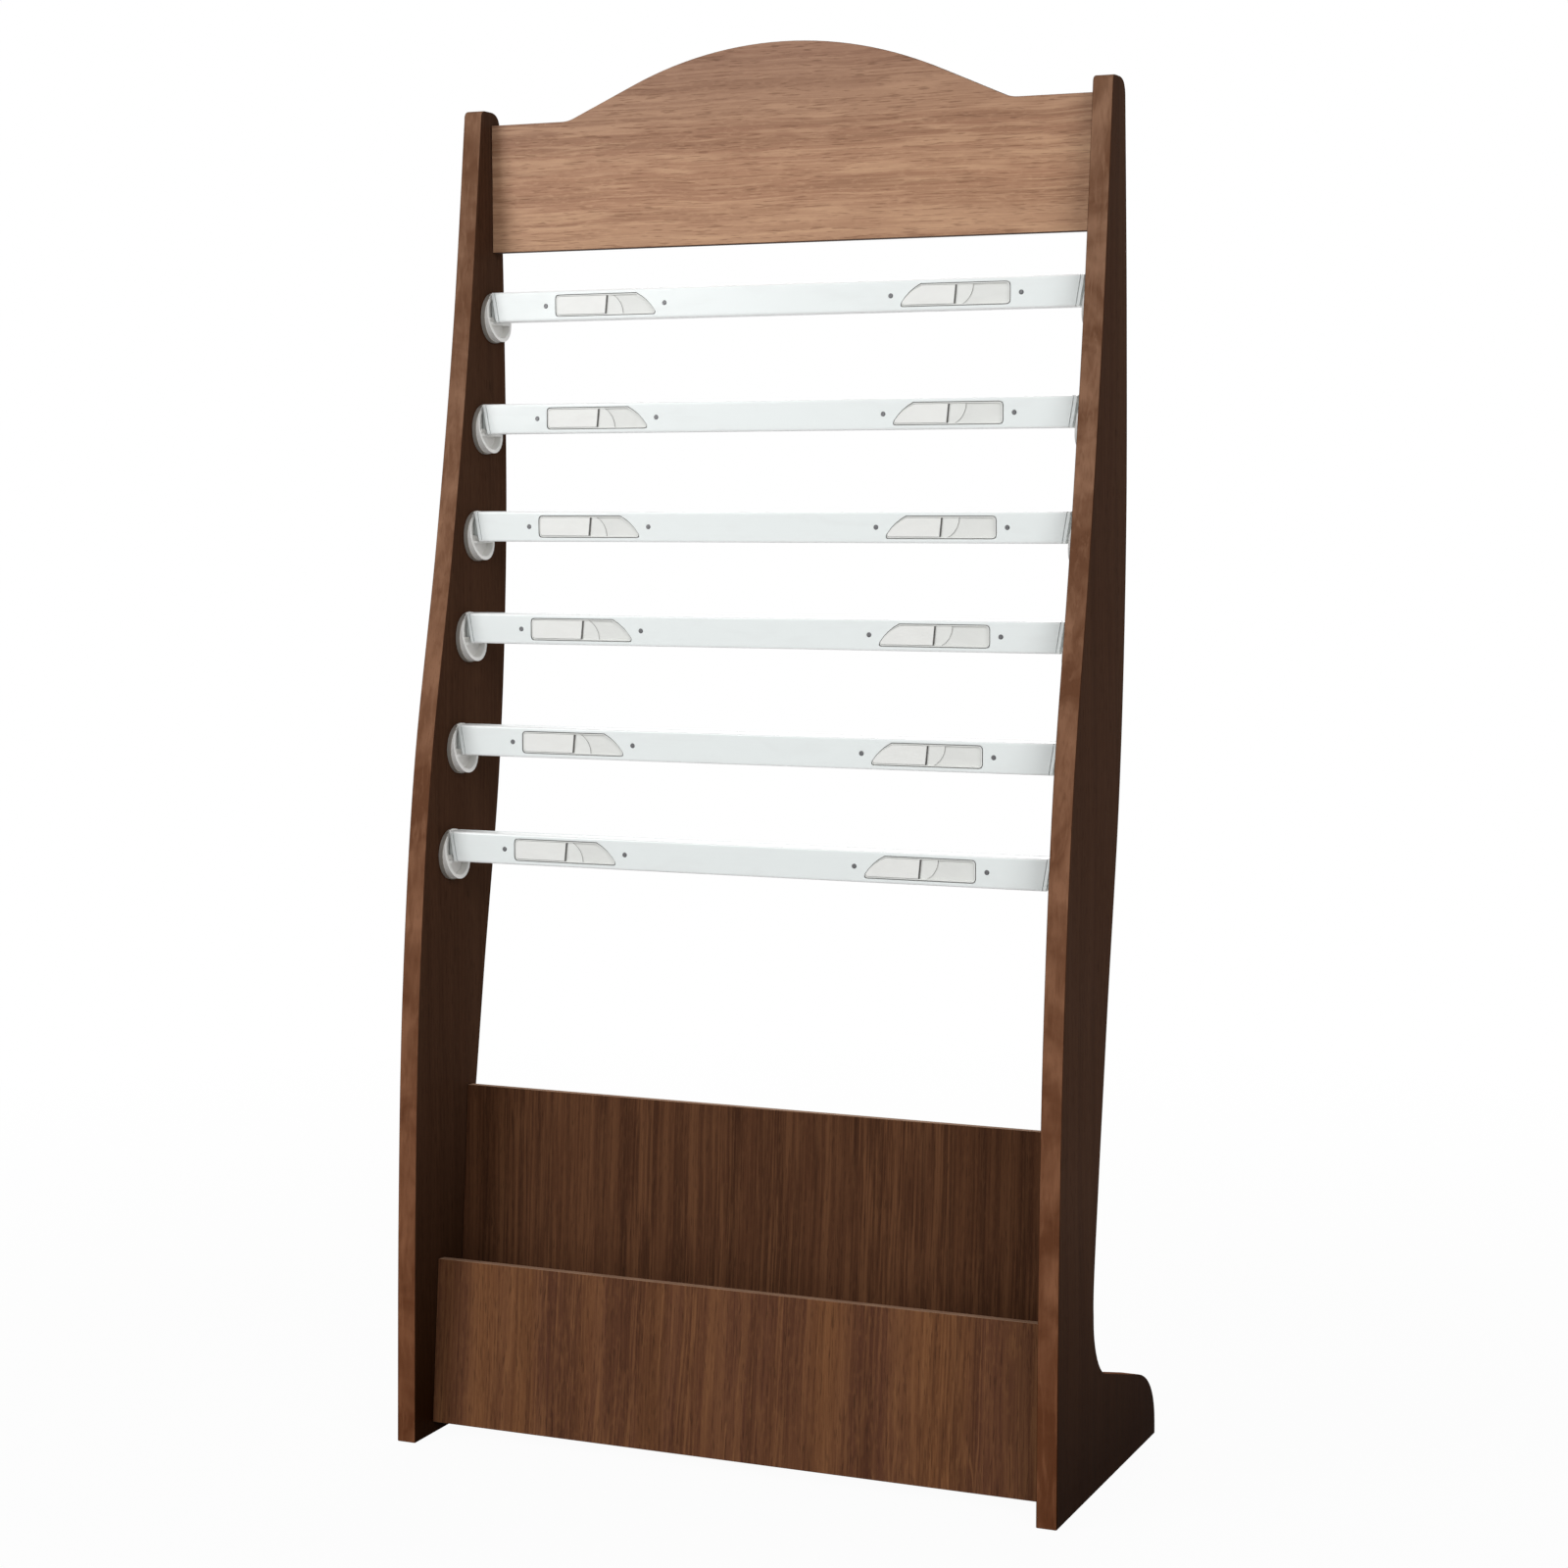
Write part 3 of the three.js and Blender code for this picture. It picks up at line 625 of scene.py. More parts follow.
@dataclass(frozen=True)
class PowderCoat:
    """White powder coat on an aluminium extrusion, with a painted highlight on its long edges and
    painted shade in the latch windows.
    """

    name: str
    coat: Tone
    handled: Tone
    # edge: a painted highlight for the rounded long edges
    edge: Tone
    # seam: painted shade on the walls of the latch windows
    painted_shade: Tone
    roughness: float = 0.3

    PEEL: ClassVar[Triple] = (900.0, 900.0, 900.0)
    DRAWING_LINES: ClassVar[Triple] = (3.0, 700.0, 700.0)
    HAND_MARKS: ClassVar[Triple] = (16.0, 30.0, 55.0)
    MARKED: ClassVar[Step] = Step(0.5, 0.78, 0.5)
    DULLED: ClassVar[Step] = Step(0.45, 0.75, 0.12)
    DRAWN_SHARE: ClassVar[float] = 0.25

    def build(self) -> bpy.types.Material:
        """Make the material.

        Returns:
            A white coat with a fine peel, long drawing lines, faint handling marks, a painted highlight
            on the long edges and painted shade in the latch windows.
        """
        sheet = NodeSheet.of_material(self.name)
        peel = sheet.noise(sheet.place(self.PEEL), detail=2.0)
        drawn = sheet.noise(sheet.place(self.DRAWING_LINES), detail=2.0)
        marks = sheet.noise(sheet.place(self.HAND_MARKS), detail=4.0, distortion=0.6)
        share = sheet.above(marks, self.MARKED) + (drawn - NOISE_MIDDLE) * self.DRAWN_SHARE
        colour = sheet.blend(share, self.coat.rgba(), self.handled.rgba())
        # Painted highlight on the rounded long edges
        colour = sheet.blend(sheet.mask(EDGE_MASK), colour, self.edge.rgba())
        return sheet.surface({
            # Painted shade on the walls of the latch windows
            "Base Color": sheet.blend(sheet.mask(PAINTED_SHADE_MASK), colour, self.painted_shade.rgba()),
            "Roughness": self.roughness + sheet.above(marks, self.DULLED),
            "Specular IOR Level": 0.5,
            "Coat Weight": 0.15,
            "Coat Roughness": 0.12,
            "Normal": sheet.bump(peel * 0.6 + drawn * 0.4, strength=0.05, distance=0.2 * MILLIMETRE),
        })


@dataclass(frozen=True)
class MouldedPlastic:
    """Injection-moulded plastic with a fine spark-eroded texture."""

    name: str
    body: Tone
    shade: Tone
    # seam: painted shade in seams and hollows
    painted_shade: Tone
    roughness: float = 0.42

    TEXTURE: ClassVar[Triple] = (1500.0, 1500.0, 1500.0)
    FLOW_MARKS: ClassVar[Triple] = (26.0, 40.0, 60.0)
    SHADED: ClassVar[Step] = Step(0.42, 0.74, 0.6)
    GRIT_WEAR: ClassVar[float] = 0.2

    def build(self) -> bpy.types.Material:
        """Make the material.

        Returns:
            Plastic with a fine texture, faint flow marks and some dust in the hollows.
        """
        sheet = NodeSheet.of_material(self.name)
        grit = sheet.noise(sheet.place(self.TEXTURE), detail=2.0)
        flow = sheet.noise(sheet.place(self.FLOW_MARKS), distortion=1.2)
        colour = sheet.blend(sheet.above(flow, self.SHADED), self.body.rgba(), self.shade.rgba())
        return sheet.surface({
            # Painted shade in seams and hollows
            "Base Color": sheet.blend(sheet.mask(PAINTED_SHADE_MASK), colour, self.painted_shade.rgba()),
            "Roughness": self.roughness + (grit - NOISE_MIDDLE) * self.GRIT_WEAR,
            "Specular IOR Level": 0.45,
            "Normal": sheet.bump(grit, strength=0.1, distance=0.1 * MILLIMETRE),
        })


@dataclass(frozen=True)
class RibbedRubber:
    """Dark extruded rubber, dusty on its ribs."""

    name: str
    body: Tone
    dust_and_shade: Tone
    roughness: float = 0.82

    BLOOM: ClassVar[Triple] = (60.0, 400.0, 400.0)
    GRIT: ClassVar[Triple] = (1400.0, 1400.0, 1400.0)
    DUSTY: ClassVar[Step] = Step(0.4, 0.75, 0.5)
    GRIT_WEAR: ClassVar[float] = 0.2

    def build(self) -> bpy.types.Material:
        """Make the material.

        Returns:
            Matt rubber with a bloom of dust.
        """
        sheet = NodeSheet.of_material(self.name)
        bloom = sheet.noise(sheet.place(self.BLOOM), detail=4.0)
        grit = sheet.noise(sheet.place(self.GRIT), detail=2.0)
        dusty = sheet.above(bloom, self.DUSTY)
        return sheet.surface({
            "Base Color": sheet.blend(dusty, self.body.rgba(), self.dust_and_shade.rgba()),
            "Roughness": self.roughness + (grit - NOISE_MIDDLE) * self.GRIT_WEAR,
            "Specular IOR Level": 0.3,
            "Normal": sheet.bump(grit, strength=0.2, distance=0.1 * MILLIMETRE),
        })


@dataclass(frozen=True)
class ScrewSteel:
    """Dark plated steel of the small screws."""

    name: str
    bright: Tone
    worn: Tone
    roughness: float = 0.34

    PATCHES: ClassVar[Triple] = (900.0, 900.0, 900.0)
    DULL: ClassVar[Step] = Step(0.4, 0.7)
    DULL_WEAR: ClassVar[float] = 0.2

    def build(self) -> bpy.types.Material:
        """Make the material.

        Returns:
            Plated metal with dull patches.
        """
        sheet = NodeSheet.of_material(self.name)
        dull = sheet.above(sheet.noise(sheet.place(self.PATCHES)), self.DULL)
        return sheet.surface({
            "Base Color": sheet.blend(dull, self.bright.rgba(), self.worn.rgba()),
            "Metallic": 0.85,
            "Roughness": self.roughness + dull * self.DULL_WEAR,
        })


class FinishSet:
    """Every finish on the rack, made once."""

    PANEL_BAND: ClassVar[dict[str, Tone]] = {
        "band_light": Tone(0.275, 0.151, 0.093),
        "band_dark": Tone(0.143, 0.067, 0.037),
    }
    TROUGH_BAND: ClassVar[dict[str, Tone]] = {
        "band_light": Tone(0.36, 0.22, 0.145),
        "band_dark": Tone(0.29, 0.17, 0.11),
    }
    # A darker copy of the trough's laminate: painted shade in the pocket, on the back board and the
    # shelf
    SHADED_POCKET_TONES: ClassVar[dict[str, Tone]] = {
        "light": Tone(0.138, 0.06, 0.028),
        "middle": Tone(0.086, 0.0345, 0.0165),
        "dark": Tone(0.048, 0.019, 0.0098),
        "ruddy": Tone(0.07, 0.0275, 0.0138),
        "pore": Tone(0.03, 0.013, 0.007),
    }
    TROUGH_LEAN: ClassVar[float] = math.radians(5.3)
    # Painted shade for the latch window seams
    WINDOW_SEAM_SHADE: ClassVar[Tone] = Tone(0.2, 0.195, 0.185)

    def __init__(self) -> None:
        """Build the materials."""
        self.panel = WalnutLaminate(
            "walnut_panel", Grain.ALONG_Z,
            light=Tone(0.084, 0.041, 0.0225), middle=Tone(0.061, 0.0285, 0.0163),
            dark=Tone(0.037, 0.0172, 0.0097), ruddy=Tone(0.056, 0.0245, 0.0135),
            pore=Tone(0.018, 0.009, 0.005), shift=(3.1, 1.7, 0.4), thread_share=0.15, gloss=0.002,
            # Painted shade: faces and edge band darker towards the floor
            contrast=0.6, painted_shade_filter=Tone(0.3, 0.22, 0.12), painted_shade_heights=(0.3, 0.02),
            band_grain=Grain.ALONG_Z, band_shade_filter=Tone(0.8, 0.6, 0.47), **self.PANEL_BAND,
        ).build()
        self.header = WalnutLaminate(
            "walnut_header", Grain.ALONG_X,
            light=Tone(0.57, 0.345, 0.21), middle=Tone(0.435, 0.248, 0.15),
            dark=Tone(0.295, 0.152, 0.087), ruddy=Tone(0.375, 0.195, 0.116),
            # The very dark edge band is painted shade on the header's underside
            pore=Tone(0.16, 0.075, 0.042), band_light=Tone(0.075, 0.036, 0.021),
            band_dark=Tone(0.05, 0.023, 0.013), shift=(0.7, 2.3, 5.9), thread_share=0.7,
            thread_width=0.075, fleck_share=0.4, shortness=1.3, fineness=1.5, sway=(10.0, 0.004),
            # Painted shade darkens the header towards its top
            contrast=1.05, roughness=0.4, gloss=0.1, painted_shade_filter=Tone(0.63, 0.6, 0.645),
            painted_shade_heights=(1.24, 1.37),
        ).build()
        self.trough = WalnutLaminate(
            "walnut_trough", Grain.ALONG_Z,
            light=Tone(0.235, 0.105, 0.045), middle=Tone(0.155, 0.063, 0.0265),
            dark=Tone(0.066, 0.025, 0.013), ruddy=Tone(0.088, 0.0335, 0.0196),
            pore=Tone(0.03, 0.013, 0.007), shift=(0.9, 4.2, 2.6), thread_share=0.5, gloss=0.03,
            lean=self.TROUGH_LEAN, **self.TROUGH_BAND,
        ).build()
        self.shaded_pocket = WalnutLaminate(
            "walnut_pocket_shaded", Grain.ALONG_Z, shift=(5.3, 1.2, 3.7), thread_share=0.4, gloss=0.02,
            contrast=1.9, lean=self.TROUGH_LEAN, **self.SHADED_POCKET_TONES, **self.TROUGH_BAND,
        ).build()
        self.shelf = WalnutLaminate(
            "walnut_shelf_shaded", Grain.ALONG_X, shift=(6.3, 0.8, 1.9), thread_share=0.4, gloss=0.02,
            **self.SHADED_POCKET_TONES, **self.PANEL_BAND,
        ).build()
        self.coat = PowderCoat(
            "white_coat", coat=Tone(0.82, 0.862, 0.855), handled=Tone(0.76, 0.79, 0.782),
            # edge is a painted highlight on the long edges; the seam tone is painted shade in the latch
            # windows
            edge=Tone(0.94, 0.955, 0.95), painted_shade=self.WINDOW_SEAM_SHADE,
        ).build()
        self.latch = MouldedPlastic(
            "latch_plastic", body=Tone(0.79, 0.8, 0.775), shade=Tone(0.735, 0.745, 0.72),
            # Painted shade in the seam round the plug and in the thumb scoop
            painted_shade=self.WINDOW_SEAM_SHADE,
        ).build()
        self.slider = MouldedPlastic(
            "slider_plastic", body=Tone(0.83, 0.835, 0.81), shade=Tone(0.775, 0.78, 0.755),
            # Painted shade on the thumb end
            painted_shade=Tone(0.1, 0.097, 0.092), roughness=0.36,
        ).build()
        self.holder = MouldedPlastic(
            "holder_plastic", body=Tone(0.9, 0.89, 0.865), shade=Tone(0.8, 0.79, 0.76),
            # Painted shade on the step and the side of the base
            painted_shade=Tone(0.2, 0.176, 0.146), roughness=0.4,
        ).build()
        self.rubber = RibbedRubber(
            "grip_rubber", body=Tone(0.05, 0.05, 0.055), dust_and_shade=Tone(0.13, 0.13, 0.13),
        ).build()
        self.screw = ScrewSteel(
            "screw_steel", bright=Tone(0.16, 0.16, 0.165), worn=Tone(0.09, 0.09, 0.095),
        ).build()


# Meshes


class BoardFace(Enum):
    """The axis that a board's broad faces look along."""

    SIDEWAYS = 0
    FRONT = 1
    UP = 2


@dataclass(frozen=True)
class EdgeSoftening:
    """How a piece's sharp edges are eased."""

    width: float
    segments: int = 2
    sharper_than: float = math.radians(32.0)
    flat_within: float = math.radians(0.4)
    face_weight: int = 100
    weld: float = 0.002 * MILLIMETRE
    corner_join: float = 0.004 * MILLIMETRE
    ease_before_masks: bool = False

    def ease(self, piece: bpy.types.Object) -> None:
        """Round a piece's sharp edges.

        Args:
            piece: The mesh object.
        """
        bevel = piece.modifiers.new("eased_edges", "BEVEL")
        bevel.width = self.width
        bevel.segments = self.segments
        bevel.limit_method = "ANGLE"
        bevel.angle_limit = self.sharper_than
        bevel.use_clamp_overlap = True
        bevel.loop_slide = False
        joined = piece.modifiers.new("joined_corners", "WELD")
        joined.merge_threshold = self.corner_join

    def eased_copy(self, mesh: bpy.types.Mesh) -> bpy.types.Mesh:
        """Bake the rounding, so that each small face of an edge can have its own mask.

        Args:
            mesh: The mesh with sharp edges, which is removed.

        Returns:
            The rounded mesh.
        """
        carrier = bpy.data.objects.new(mesh.name, mesh)
        bpy.context.scene.collection.objects.link(carrier)
        self.ease(carrier)
        graph = bpy.context.evaluated_depsgraph_get()
        rounded = bpy.data.meshes.new_from_object(carrier.evaluated_get(graph))
        bpy.data.objects.remove(carrier)
        bpy.data.meshes.remove(mesh)
        return rounded

    def flatten(self, piece: bpy.types.Object) -> None:
        """Keep the shading of a piece's broad faces flat beside its rounded edges.

        Args:
            piece: The mesh object.
        """
        normals = piece.modifiers.new("flat_faces", "WEIGHTED_NORMAL")
        normals.keep_sharp = True
        normals.weight = self.face_weight


class Workshop:
    """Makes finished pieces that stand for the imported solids."""

    def __init__(self, nodes: dict[str, bpy.types.Object]) -> None:
        """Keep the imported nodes.

        Args:
            nodes: Each node's object by name.
        """
        self.nodes = nodes
        self.made = 0

    def place(self, name: str, mesh: bpy.types.Mesh, material: bpy.types.Material, body: str,
              slot: str) -> bpy.types.Object:
        """Put a mesh in the scene as a piece of the rack.

        Args:
            name: The piece's name.
            mesh: Its mesh, already in place.
            material: Its finish.
            body: The body that it rides on.
            slot: The record's slot for its finish, which is not used.

        Returns:
            The piece.
        """
        piece = bpy.data.objects.new(name, mesh)
        bpy.context.scene.collection.objects.link(piece)
        mesh.materials.clear()
        mesh.materials.append(material)
        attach(piece, body)
        self.made += 1
        LOG.info("%s rides on %s with %d faces", name, body, len(mesh.polygons))
        return piece

    def merged_copy(self, node: str, softening: EdgeSoftening,
                    shaping: Shaping | None) -> bpy.types.Mesh:
        """Copy a node's mesh with its loose triangles joined into flat faces.

        Args:
            node: The node's name.
            softening: How near two points, and how level two faces, are joined.
            shaping: Cuts a detail in the joined copy, if there is one.

        Returns:
            The new mesh.
        """
        shape = bmesh.new()
        shape.from_mesh(self.nodes[node].data)
        bmesh.ops.remove_doubles(shape, verts=shape.verts, dist=softening.weld)
        bmesh.ops.dissolve_limit(
            shape, angle_limit=softening.flat_within, verts=shape.verts, edges=shape.edges,
            use_dissolve_boundaries=False,
        )
        if shaping is not None:
            shaping(shape)
        mesh = bpy.data.meshes.new(node + "_mesh")
        shape.to_mesh(mesh)
        shape.free()
        return mesh

    def finished(self, node: str, prefix: str, material: bpy.types.Material, body: str, slot: str,
                 softening: EdgeSoftening, masks: dict[str, FaceMask] | None = None,
                 shaping: Shaping | None = None) -> None:
        """Make the finished piece that stands for one node.

        Args:
            node: The node's name.
            prefix: What the piece's name starts with.
            material: Its finish.
            body: The body that it rides on.
            slot: The record's slot for its finish.
            softening: How its edges are eased.
            masks: For each face attribute that its finish reads, how far it covers a face.
            shaping: Cuts a detail in the piece before its edges are eased, if there is one.
        """
        mesh = self.merged_copy(node, softening, shaping)
        mesh.polygons.foreach_set("use_smooth", [True] * len(mesh.polygons))
        mesh.set_sharp_from_angle(angle=softening.sharper_than)
        if softening.ease_before_masks:
            mesh = softening.eased_copy(mesh)
        for mask, covers in (masks or {}).items():
            levels = [float(covers(polygon)) for polygon in mesh.polygons]
            mesh.attributes.new(mask, "FLOAT", "FACE").data.foreach_set("value", levels)
        piece = self.place(f"{prefix}_{node}", mesh, material, body, slot)
        if not softening.ease_before_masks:
            softening.ease(piece)
        softening.flatten(piece)
        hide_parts(node)


class PieceTree:
    """A Geometry Nodes tree that sets one small form on every point of a mesh."""

    NAME: ClassVar[str] = ""
    SIZES: ClassVar[dict[str, float | int]] = {}
    SOCKET_KINDS: ClassVar[dict[type, str]] = {
        float: "NodeSocketFloat",
        int: "NodeSocketInt",
        bpy.types.Material: "NodeSocketMaterial",
    }

    def __init__(self, material: bpy.types.Material) -> None:
        """Build the tree.

        Args:
            material: The finish of what it makes.
        """
        self.values: dict[str, Any] = {**self.SIZES, "Finish": material}
        self.tree = bpy.data.node_groups.new(self.NAME, "GeometryNodeTree")
        self.identifiers: dict[str, str] = {}
        self._interface()
        given = self._add("NodeGroupInput").outputs
        spread = self._add("GeometryNodeInstanceOnPoints", None, {
            "Points": given["Geometry"], "Instance": self._form(given), "Rotation": self._turn(given),
        })
        real = self._add("GeometryNodeRealizeInstances", None, {0: spread.outputs[0]})
        dressed = self._add("GeometryNodeSetMaterial", None, {
            "Geometry": real.outputs[0], "Material": given["Finish"],
        })
        self._add("NodeGroupOutput", None, {0: dressed.outputs[0]})

    def _interface(self) -> None:
        """Add the tree's named inputs and its output."""
        interface = self.tree.interface
        interface.new_socket("Geometry", in_out="INPUT", socket_type="NodeSocketGeometry")
        for name, value in self.values.items():
            kind = self.SOCKET_KINDS[type(value)]
            socket = interface.new_socket(name, in_out="INPUT", socket_type=kind)
            self.identifiers[name] = socket.identifier
        interface.new_socket("Geometry", in_out="OUTPUT", socket_type="NodeSocketGeometry")

    def _add(self, kind: str, settings: dict[str, Any] | None = None,
             sockets: dict[int | str, Any] | None = None) -> bpy.types.Node:
        """Add a node to the tree.

        Args:
            kind: The node's type.
            settings: Properties set first.
            sockets: A value, an output socket or a list of them for each input.

        Returns:
            The node.
        """
        node = self.tree.nodes.new(kind)
        for key, value in (settings or {}).items():
            setattr(node, key, value)
        for key, value in (sockets or {}).items():
            for item in value if isinstance(value, list) else [value]:
                if isinstance(item, bpy.types.NodeSocket):
                    self.tree.links.new(item, node.inputs[key])
                else:
                    node.inputs[key].default_value = item
        return node

    def _number(self, operation: str, first: Any, second: Any) -> bpy.types.NodeSocket:
        """The result of a Math node on two numbers or sockets."""
        return self._add("ShaderNodeMath", {"operation": operation}, {0: first, 1: second}).outputs[0]

    def _vector(self, x: Any, y: Any, z: Any) -> bpy.types.NodeSocket:
        """A vector of three numbers or sockets."""
        return self._add("ShaderNodeCombineXYZ", None, {"X": x, "Y": y, "Z": z}).outputs[0]

    def _block(self, size: bpy.types.NodeSocket, middle: bpy.types.NodeSocket) -> bpy.types.NodeSocket:
        """Model a plain block.

        Args:
            size: Its three lengths.
            middle: Where its middle is.

        Returns:
            The block's geometry.
        """
        block = self._add("GeometryNodeMeshCube", None, {"Size": size})
        moved = self._add("GeometryNodeTransform", None, {
            "Geometry": block.outputs[0], "Translation": middle,
        })
        return moved.outputs[0]

    def _joined(self, operation: str, sockets: dict[int, Any]) -> bpy.types.NodeSocket:
        """The result of an exact Boolean node."""
        settings = {"operation": operation, "solver": "EXACT"}
        return self._add("GeometryNodeMeshBoolean", settings, sockets).outputs[0]

    def _form(self, given: bpy.types.NodeOutputs) -> bpy.types.NodeSocket:
        """Model what is set on each point.

        Args:
            given: The tree's inputs.

        Returns:
            The form's geometry.
        """
        raise NotImplementedError

    def _turn(self, given: bpy.types.NodeOutputs) -> bpy.types.NodeSocket:
        """Choose how the form is turned, which is not at all unless a tree says so.

        Args:
            given: The tree's inputs.

        Returns:
            The rotation.
        """
        return self._vector(0.0, 0.0, 0.0)

    def mesh_at(self, name: str, points: list[Vector], **sizes: float) -> bpy.types.Mesh:
        """Bake the tree on some points.

        Args:
            name: The mesh's name.
            points: Where the forms sit.
            sizes: Inputs that differ from the tree's own sizes.

        Returns:
            One plain mesh of all the forms.
        """
        seats = bpy.data.meshes.new(name + "_seats")
        seats.from_pydata(points, [], [])
        carrier = bpy.data.objects.new(name + "_seats", seats)
        bpy.context.scene.collection.objects.link(carrier)
        modifier = carrier.modifiers.new(self.NAME, "NODES")
        modifier.node_group = self.tree
        for key, value in {**self.values, **sizes}.items():
            modifier[self.identifiers[key]] = value
        graph = bpy.context.evaluated_depsgraph_get()
        mesh = bpy.data.meshes.new_from_object(carrier.evaluated_get(graph))
        mesh.name = name
        bpy.data.objects.remove(carrier)
        bpy.data.meshes.remove(seats)
        return mesh


class ScrewTree(PieceTree):
    """Cross-slotted screw heads that look to the front, each turned at random."""

    NAME = "screw_heads"
    SIZES = {
        "Head Radius": 2.4 * MILLIMETRE,
        "Crown Radius": 1.7 * MILLIMETRE,
        "Head Height": 0.9 * MILLIMETRE,
        "Slot Width": 0.55 * MILLIMETRE,
        "Slot Length": 2.8 * MILLIMETRE,
        "Slot Depth": 0.5 * MILLIMETRE,
        "Head Sides": 24,
        "Seed": 7,
    }

    def _form(self, given: bpy.types.NodeOutputs) -> bpy.types.NodeSocket:
        """Model one head and cut its slots.

        Args:
            given: The tree's inputs.

        Returns:
            The head's geometry.
        """
        cone = self._add("GeometryNodeMeshCone", None, {
            "Vertices": given["Head Sides"],
            "Radius Top": given["Crown Radius"],
            "Radius Bottom": given["Head Radius"],
            "Depth": given["Head Height"],
        })
        crown = self._vector(0.0, 0.0, given["Head Height"])
        cuts = []
        for width, length in (("Slot Length", "Slot Width"), ("Slot Width", "Slot Length")):
            size = self._vector(given[width], given[length], given["Slot Depth"])
            cuts.append(self._block(size, crown))
        cross = self._joined("UNION", {1: cuts})
        return self._joined("DIFFERENCE", {0: cone.outputs[0], 1: cross})

    def _turn(self, given: bpy.types.NodeOutputs) -> bpy.types.NodeSocket:
        """Lay each head to the front, at a random angle.

        Args:
            given: The tree's inputs.

        Returns:
            The rotation.
        """
        turn = self._add("FunctionNodeRandomValue", {"data_type": "FLOAT"}, {
            RANDOM_LEAST: 0.0, RANDOM_MOST: math.pi / 2, "Seed": given["Seed"],
        })
        return self._vector(math.pi / 2, turn.outputs[RANDOM_RESULT], 0.0)


class GripTree(PieceTree):
    """Grip strips with ribs along their front."""

    NAME = "ribbed_strip"
    SIZES = {
        "Length": 600.0 * MILLIMETRE,
        "Depth": 1.4 * MILLIMETRE,
        "Height": 3.0 * MILLIMETRE,
        "Rib Depth": 0.25 * MILLIMETRE,
        "Rib Root": 0.9,
        "Rib Crest": 0.45,
        "Ribs": 4,
    }

    def _form(self, given: bpy.types.NodeOutputs) -> bpy.types.NodeSocket:
        """Model a strip about its middle, and set its ribs on its front.

        Args:
            given: The tree's inputs.

        Returns:
            The strip's geometry.
        """
        pitch = self._number("DIVIDE", given["Height"], given["Ribs"])
        core_depth = self._number("SUBTRACT", given["Depth"], given["Rib Depth"])
        core = self._block(
            self._vector(given["Length"], core_depth, given["Height"]),
            self._vector(0.0, self._number("DIVIDE", given["Rib Depth"], 2.0), 0.0),
        )
        half_depth = self._number("DIVIDE", given["Depth"], 2.0)
        valley = self._number("SUBTRACT", given["Rib Depth"], half_depth)
        lowest = self._number("DIVIDE", self._number("SUBTRACT", pitch, given["Height"]), 2.0)
        rows = self._add("GeometryNodeMeshLine", {"mode": "OFFSET"}, {
            "Count": given["Ribs"],
            "Start Location": self._vector(0.0, valley, lowest),
            "Offset": self._vector(0.0, 0.0, pitch),
        })
        spread = self._add("GeometryNodeInstanceOnPoints", None, {
            "Points": rows.outputs[0], "Instance": self._rib(given, pitch),
        })
        ribs = self._add("GeometryNodeRealizeInstances", None, {0: spread.outputs[0]})
        return self._joined("UNION", {1: [core, ribs.outputs[0]]})

    def _rib(self, given: bpy.types.NodeOutputs, pitch: bpy.types.NodeSocket) -> bpy.types.NodeSocket:
        """Model one rib, narrower at its crest, with its root sunk in the strip.

        Args:
            given: The tree's inputs.
            pitch: From one rib to the next.

        Returns:
            The rib's geometry.
        """
        block = self._block(
            self._vector(
                self._number("SUBTRACT", given["Length"], pitch),
                self._number("MULTIPLY", given["Rib Depth"], 2.0),
                self._number("MULTIPLY", pitch, given["Rib Root"]),
            ),
            self._vector(0.0, 0.0, 0.0),
        )
        spot = self._add("GeometryNodeInputPosition").outputs[0]
        depth = self._add("ShaderNodeSeparateXYZ", None, {0: spot}).outputs["Y"]
        in_front = self._add("FunctionNodeCompare", {"data_type": "FLOAT", "operation": "LESS_THAN"}, {
            0: depth, 1: 0.0,
        })
        share = self._number("DIVIDE", given["Rib Crest"], given["Rib Root"])
        drawn_in = self._add("ShaderNodeVectorMath", {"operation": "MULTIPLY"}, {
            0: spot, 1: self._vector(1.0, 1.0, share),
        })
        rib = self._add("GeometryNodeSetPosition", None, {
            "Geometry": block, "Selection": in_front.outputs[0], "Position": drawn_in.outputs[0],
        })
        return rib.outputs[0]


# Sub-assemblies


@dataclass
class Carcass:
    """The side panels, the header and the trough, all of laminated board."""

    workshop: Workshop
    finishes: FinishSet
    panel_softening: EdgeSoftening = EdgeSoftening(1.2 * MILLIMETRE, 3, ease_before_masks=True)
    board_softening: EdgeSoftening = EdgeSoftening(0.8 * MILLIMETRE, 2, ease_before_masks=True)
    edge_slope: float = 0.7

    def build(self) -> None:
        """Make every board."""
        finishes = self.finishes
        for side in SIDES:
            node = f"side_panel_{side}"
            self._board(node, finishes.panel, BoardFace.SIDEWAYS, self.panel_softening)
        self._board("header_board", finishes.header, BoardFace.FRONT, self.board_softening)
        self._board("trough_front_board", finishes.trough, BoardFace.FRONT, self.board_softening)
        # The back board and the shelf take the pocket laminate, darkened as painted shade
        self._board("trough_back_board", finishes.shaded_pocket, BoardFace.FRONT, self.board_softening)
        self._board("trough_shelf", finishes.shelf, BoardFace.UP, self.board_softening)

    def _board(self, node: str, material: bpy.types.Material, face: BoardFace,
               softening: EdgeSoftening) -> None:
        """Make one board.

        Args:
            node: The board's node.
            material: Its laminate.
            face: The axis of its broad faces.
            softening: How its edges are eased.
        """
        def on_edge(polygon: bpy.types.MeshPolygon) -> bool:
            """Whether a face is on the board's edge, and not on a broad face."""
            return abs(polygon.normal[face.value]) < self.edge_slope

        self.workshop.finished(
            node, "laminated", material, "frame", "walnut_laminate", softening, {EDGE_MASK: on_edge},
        )


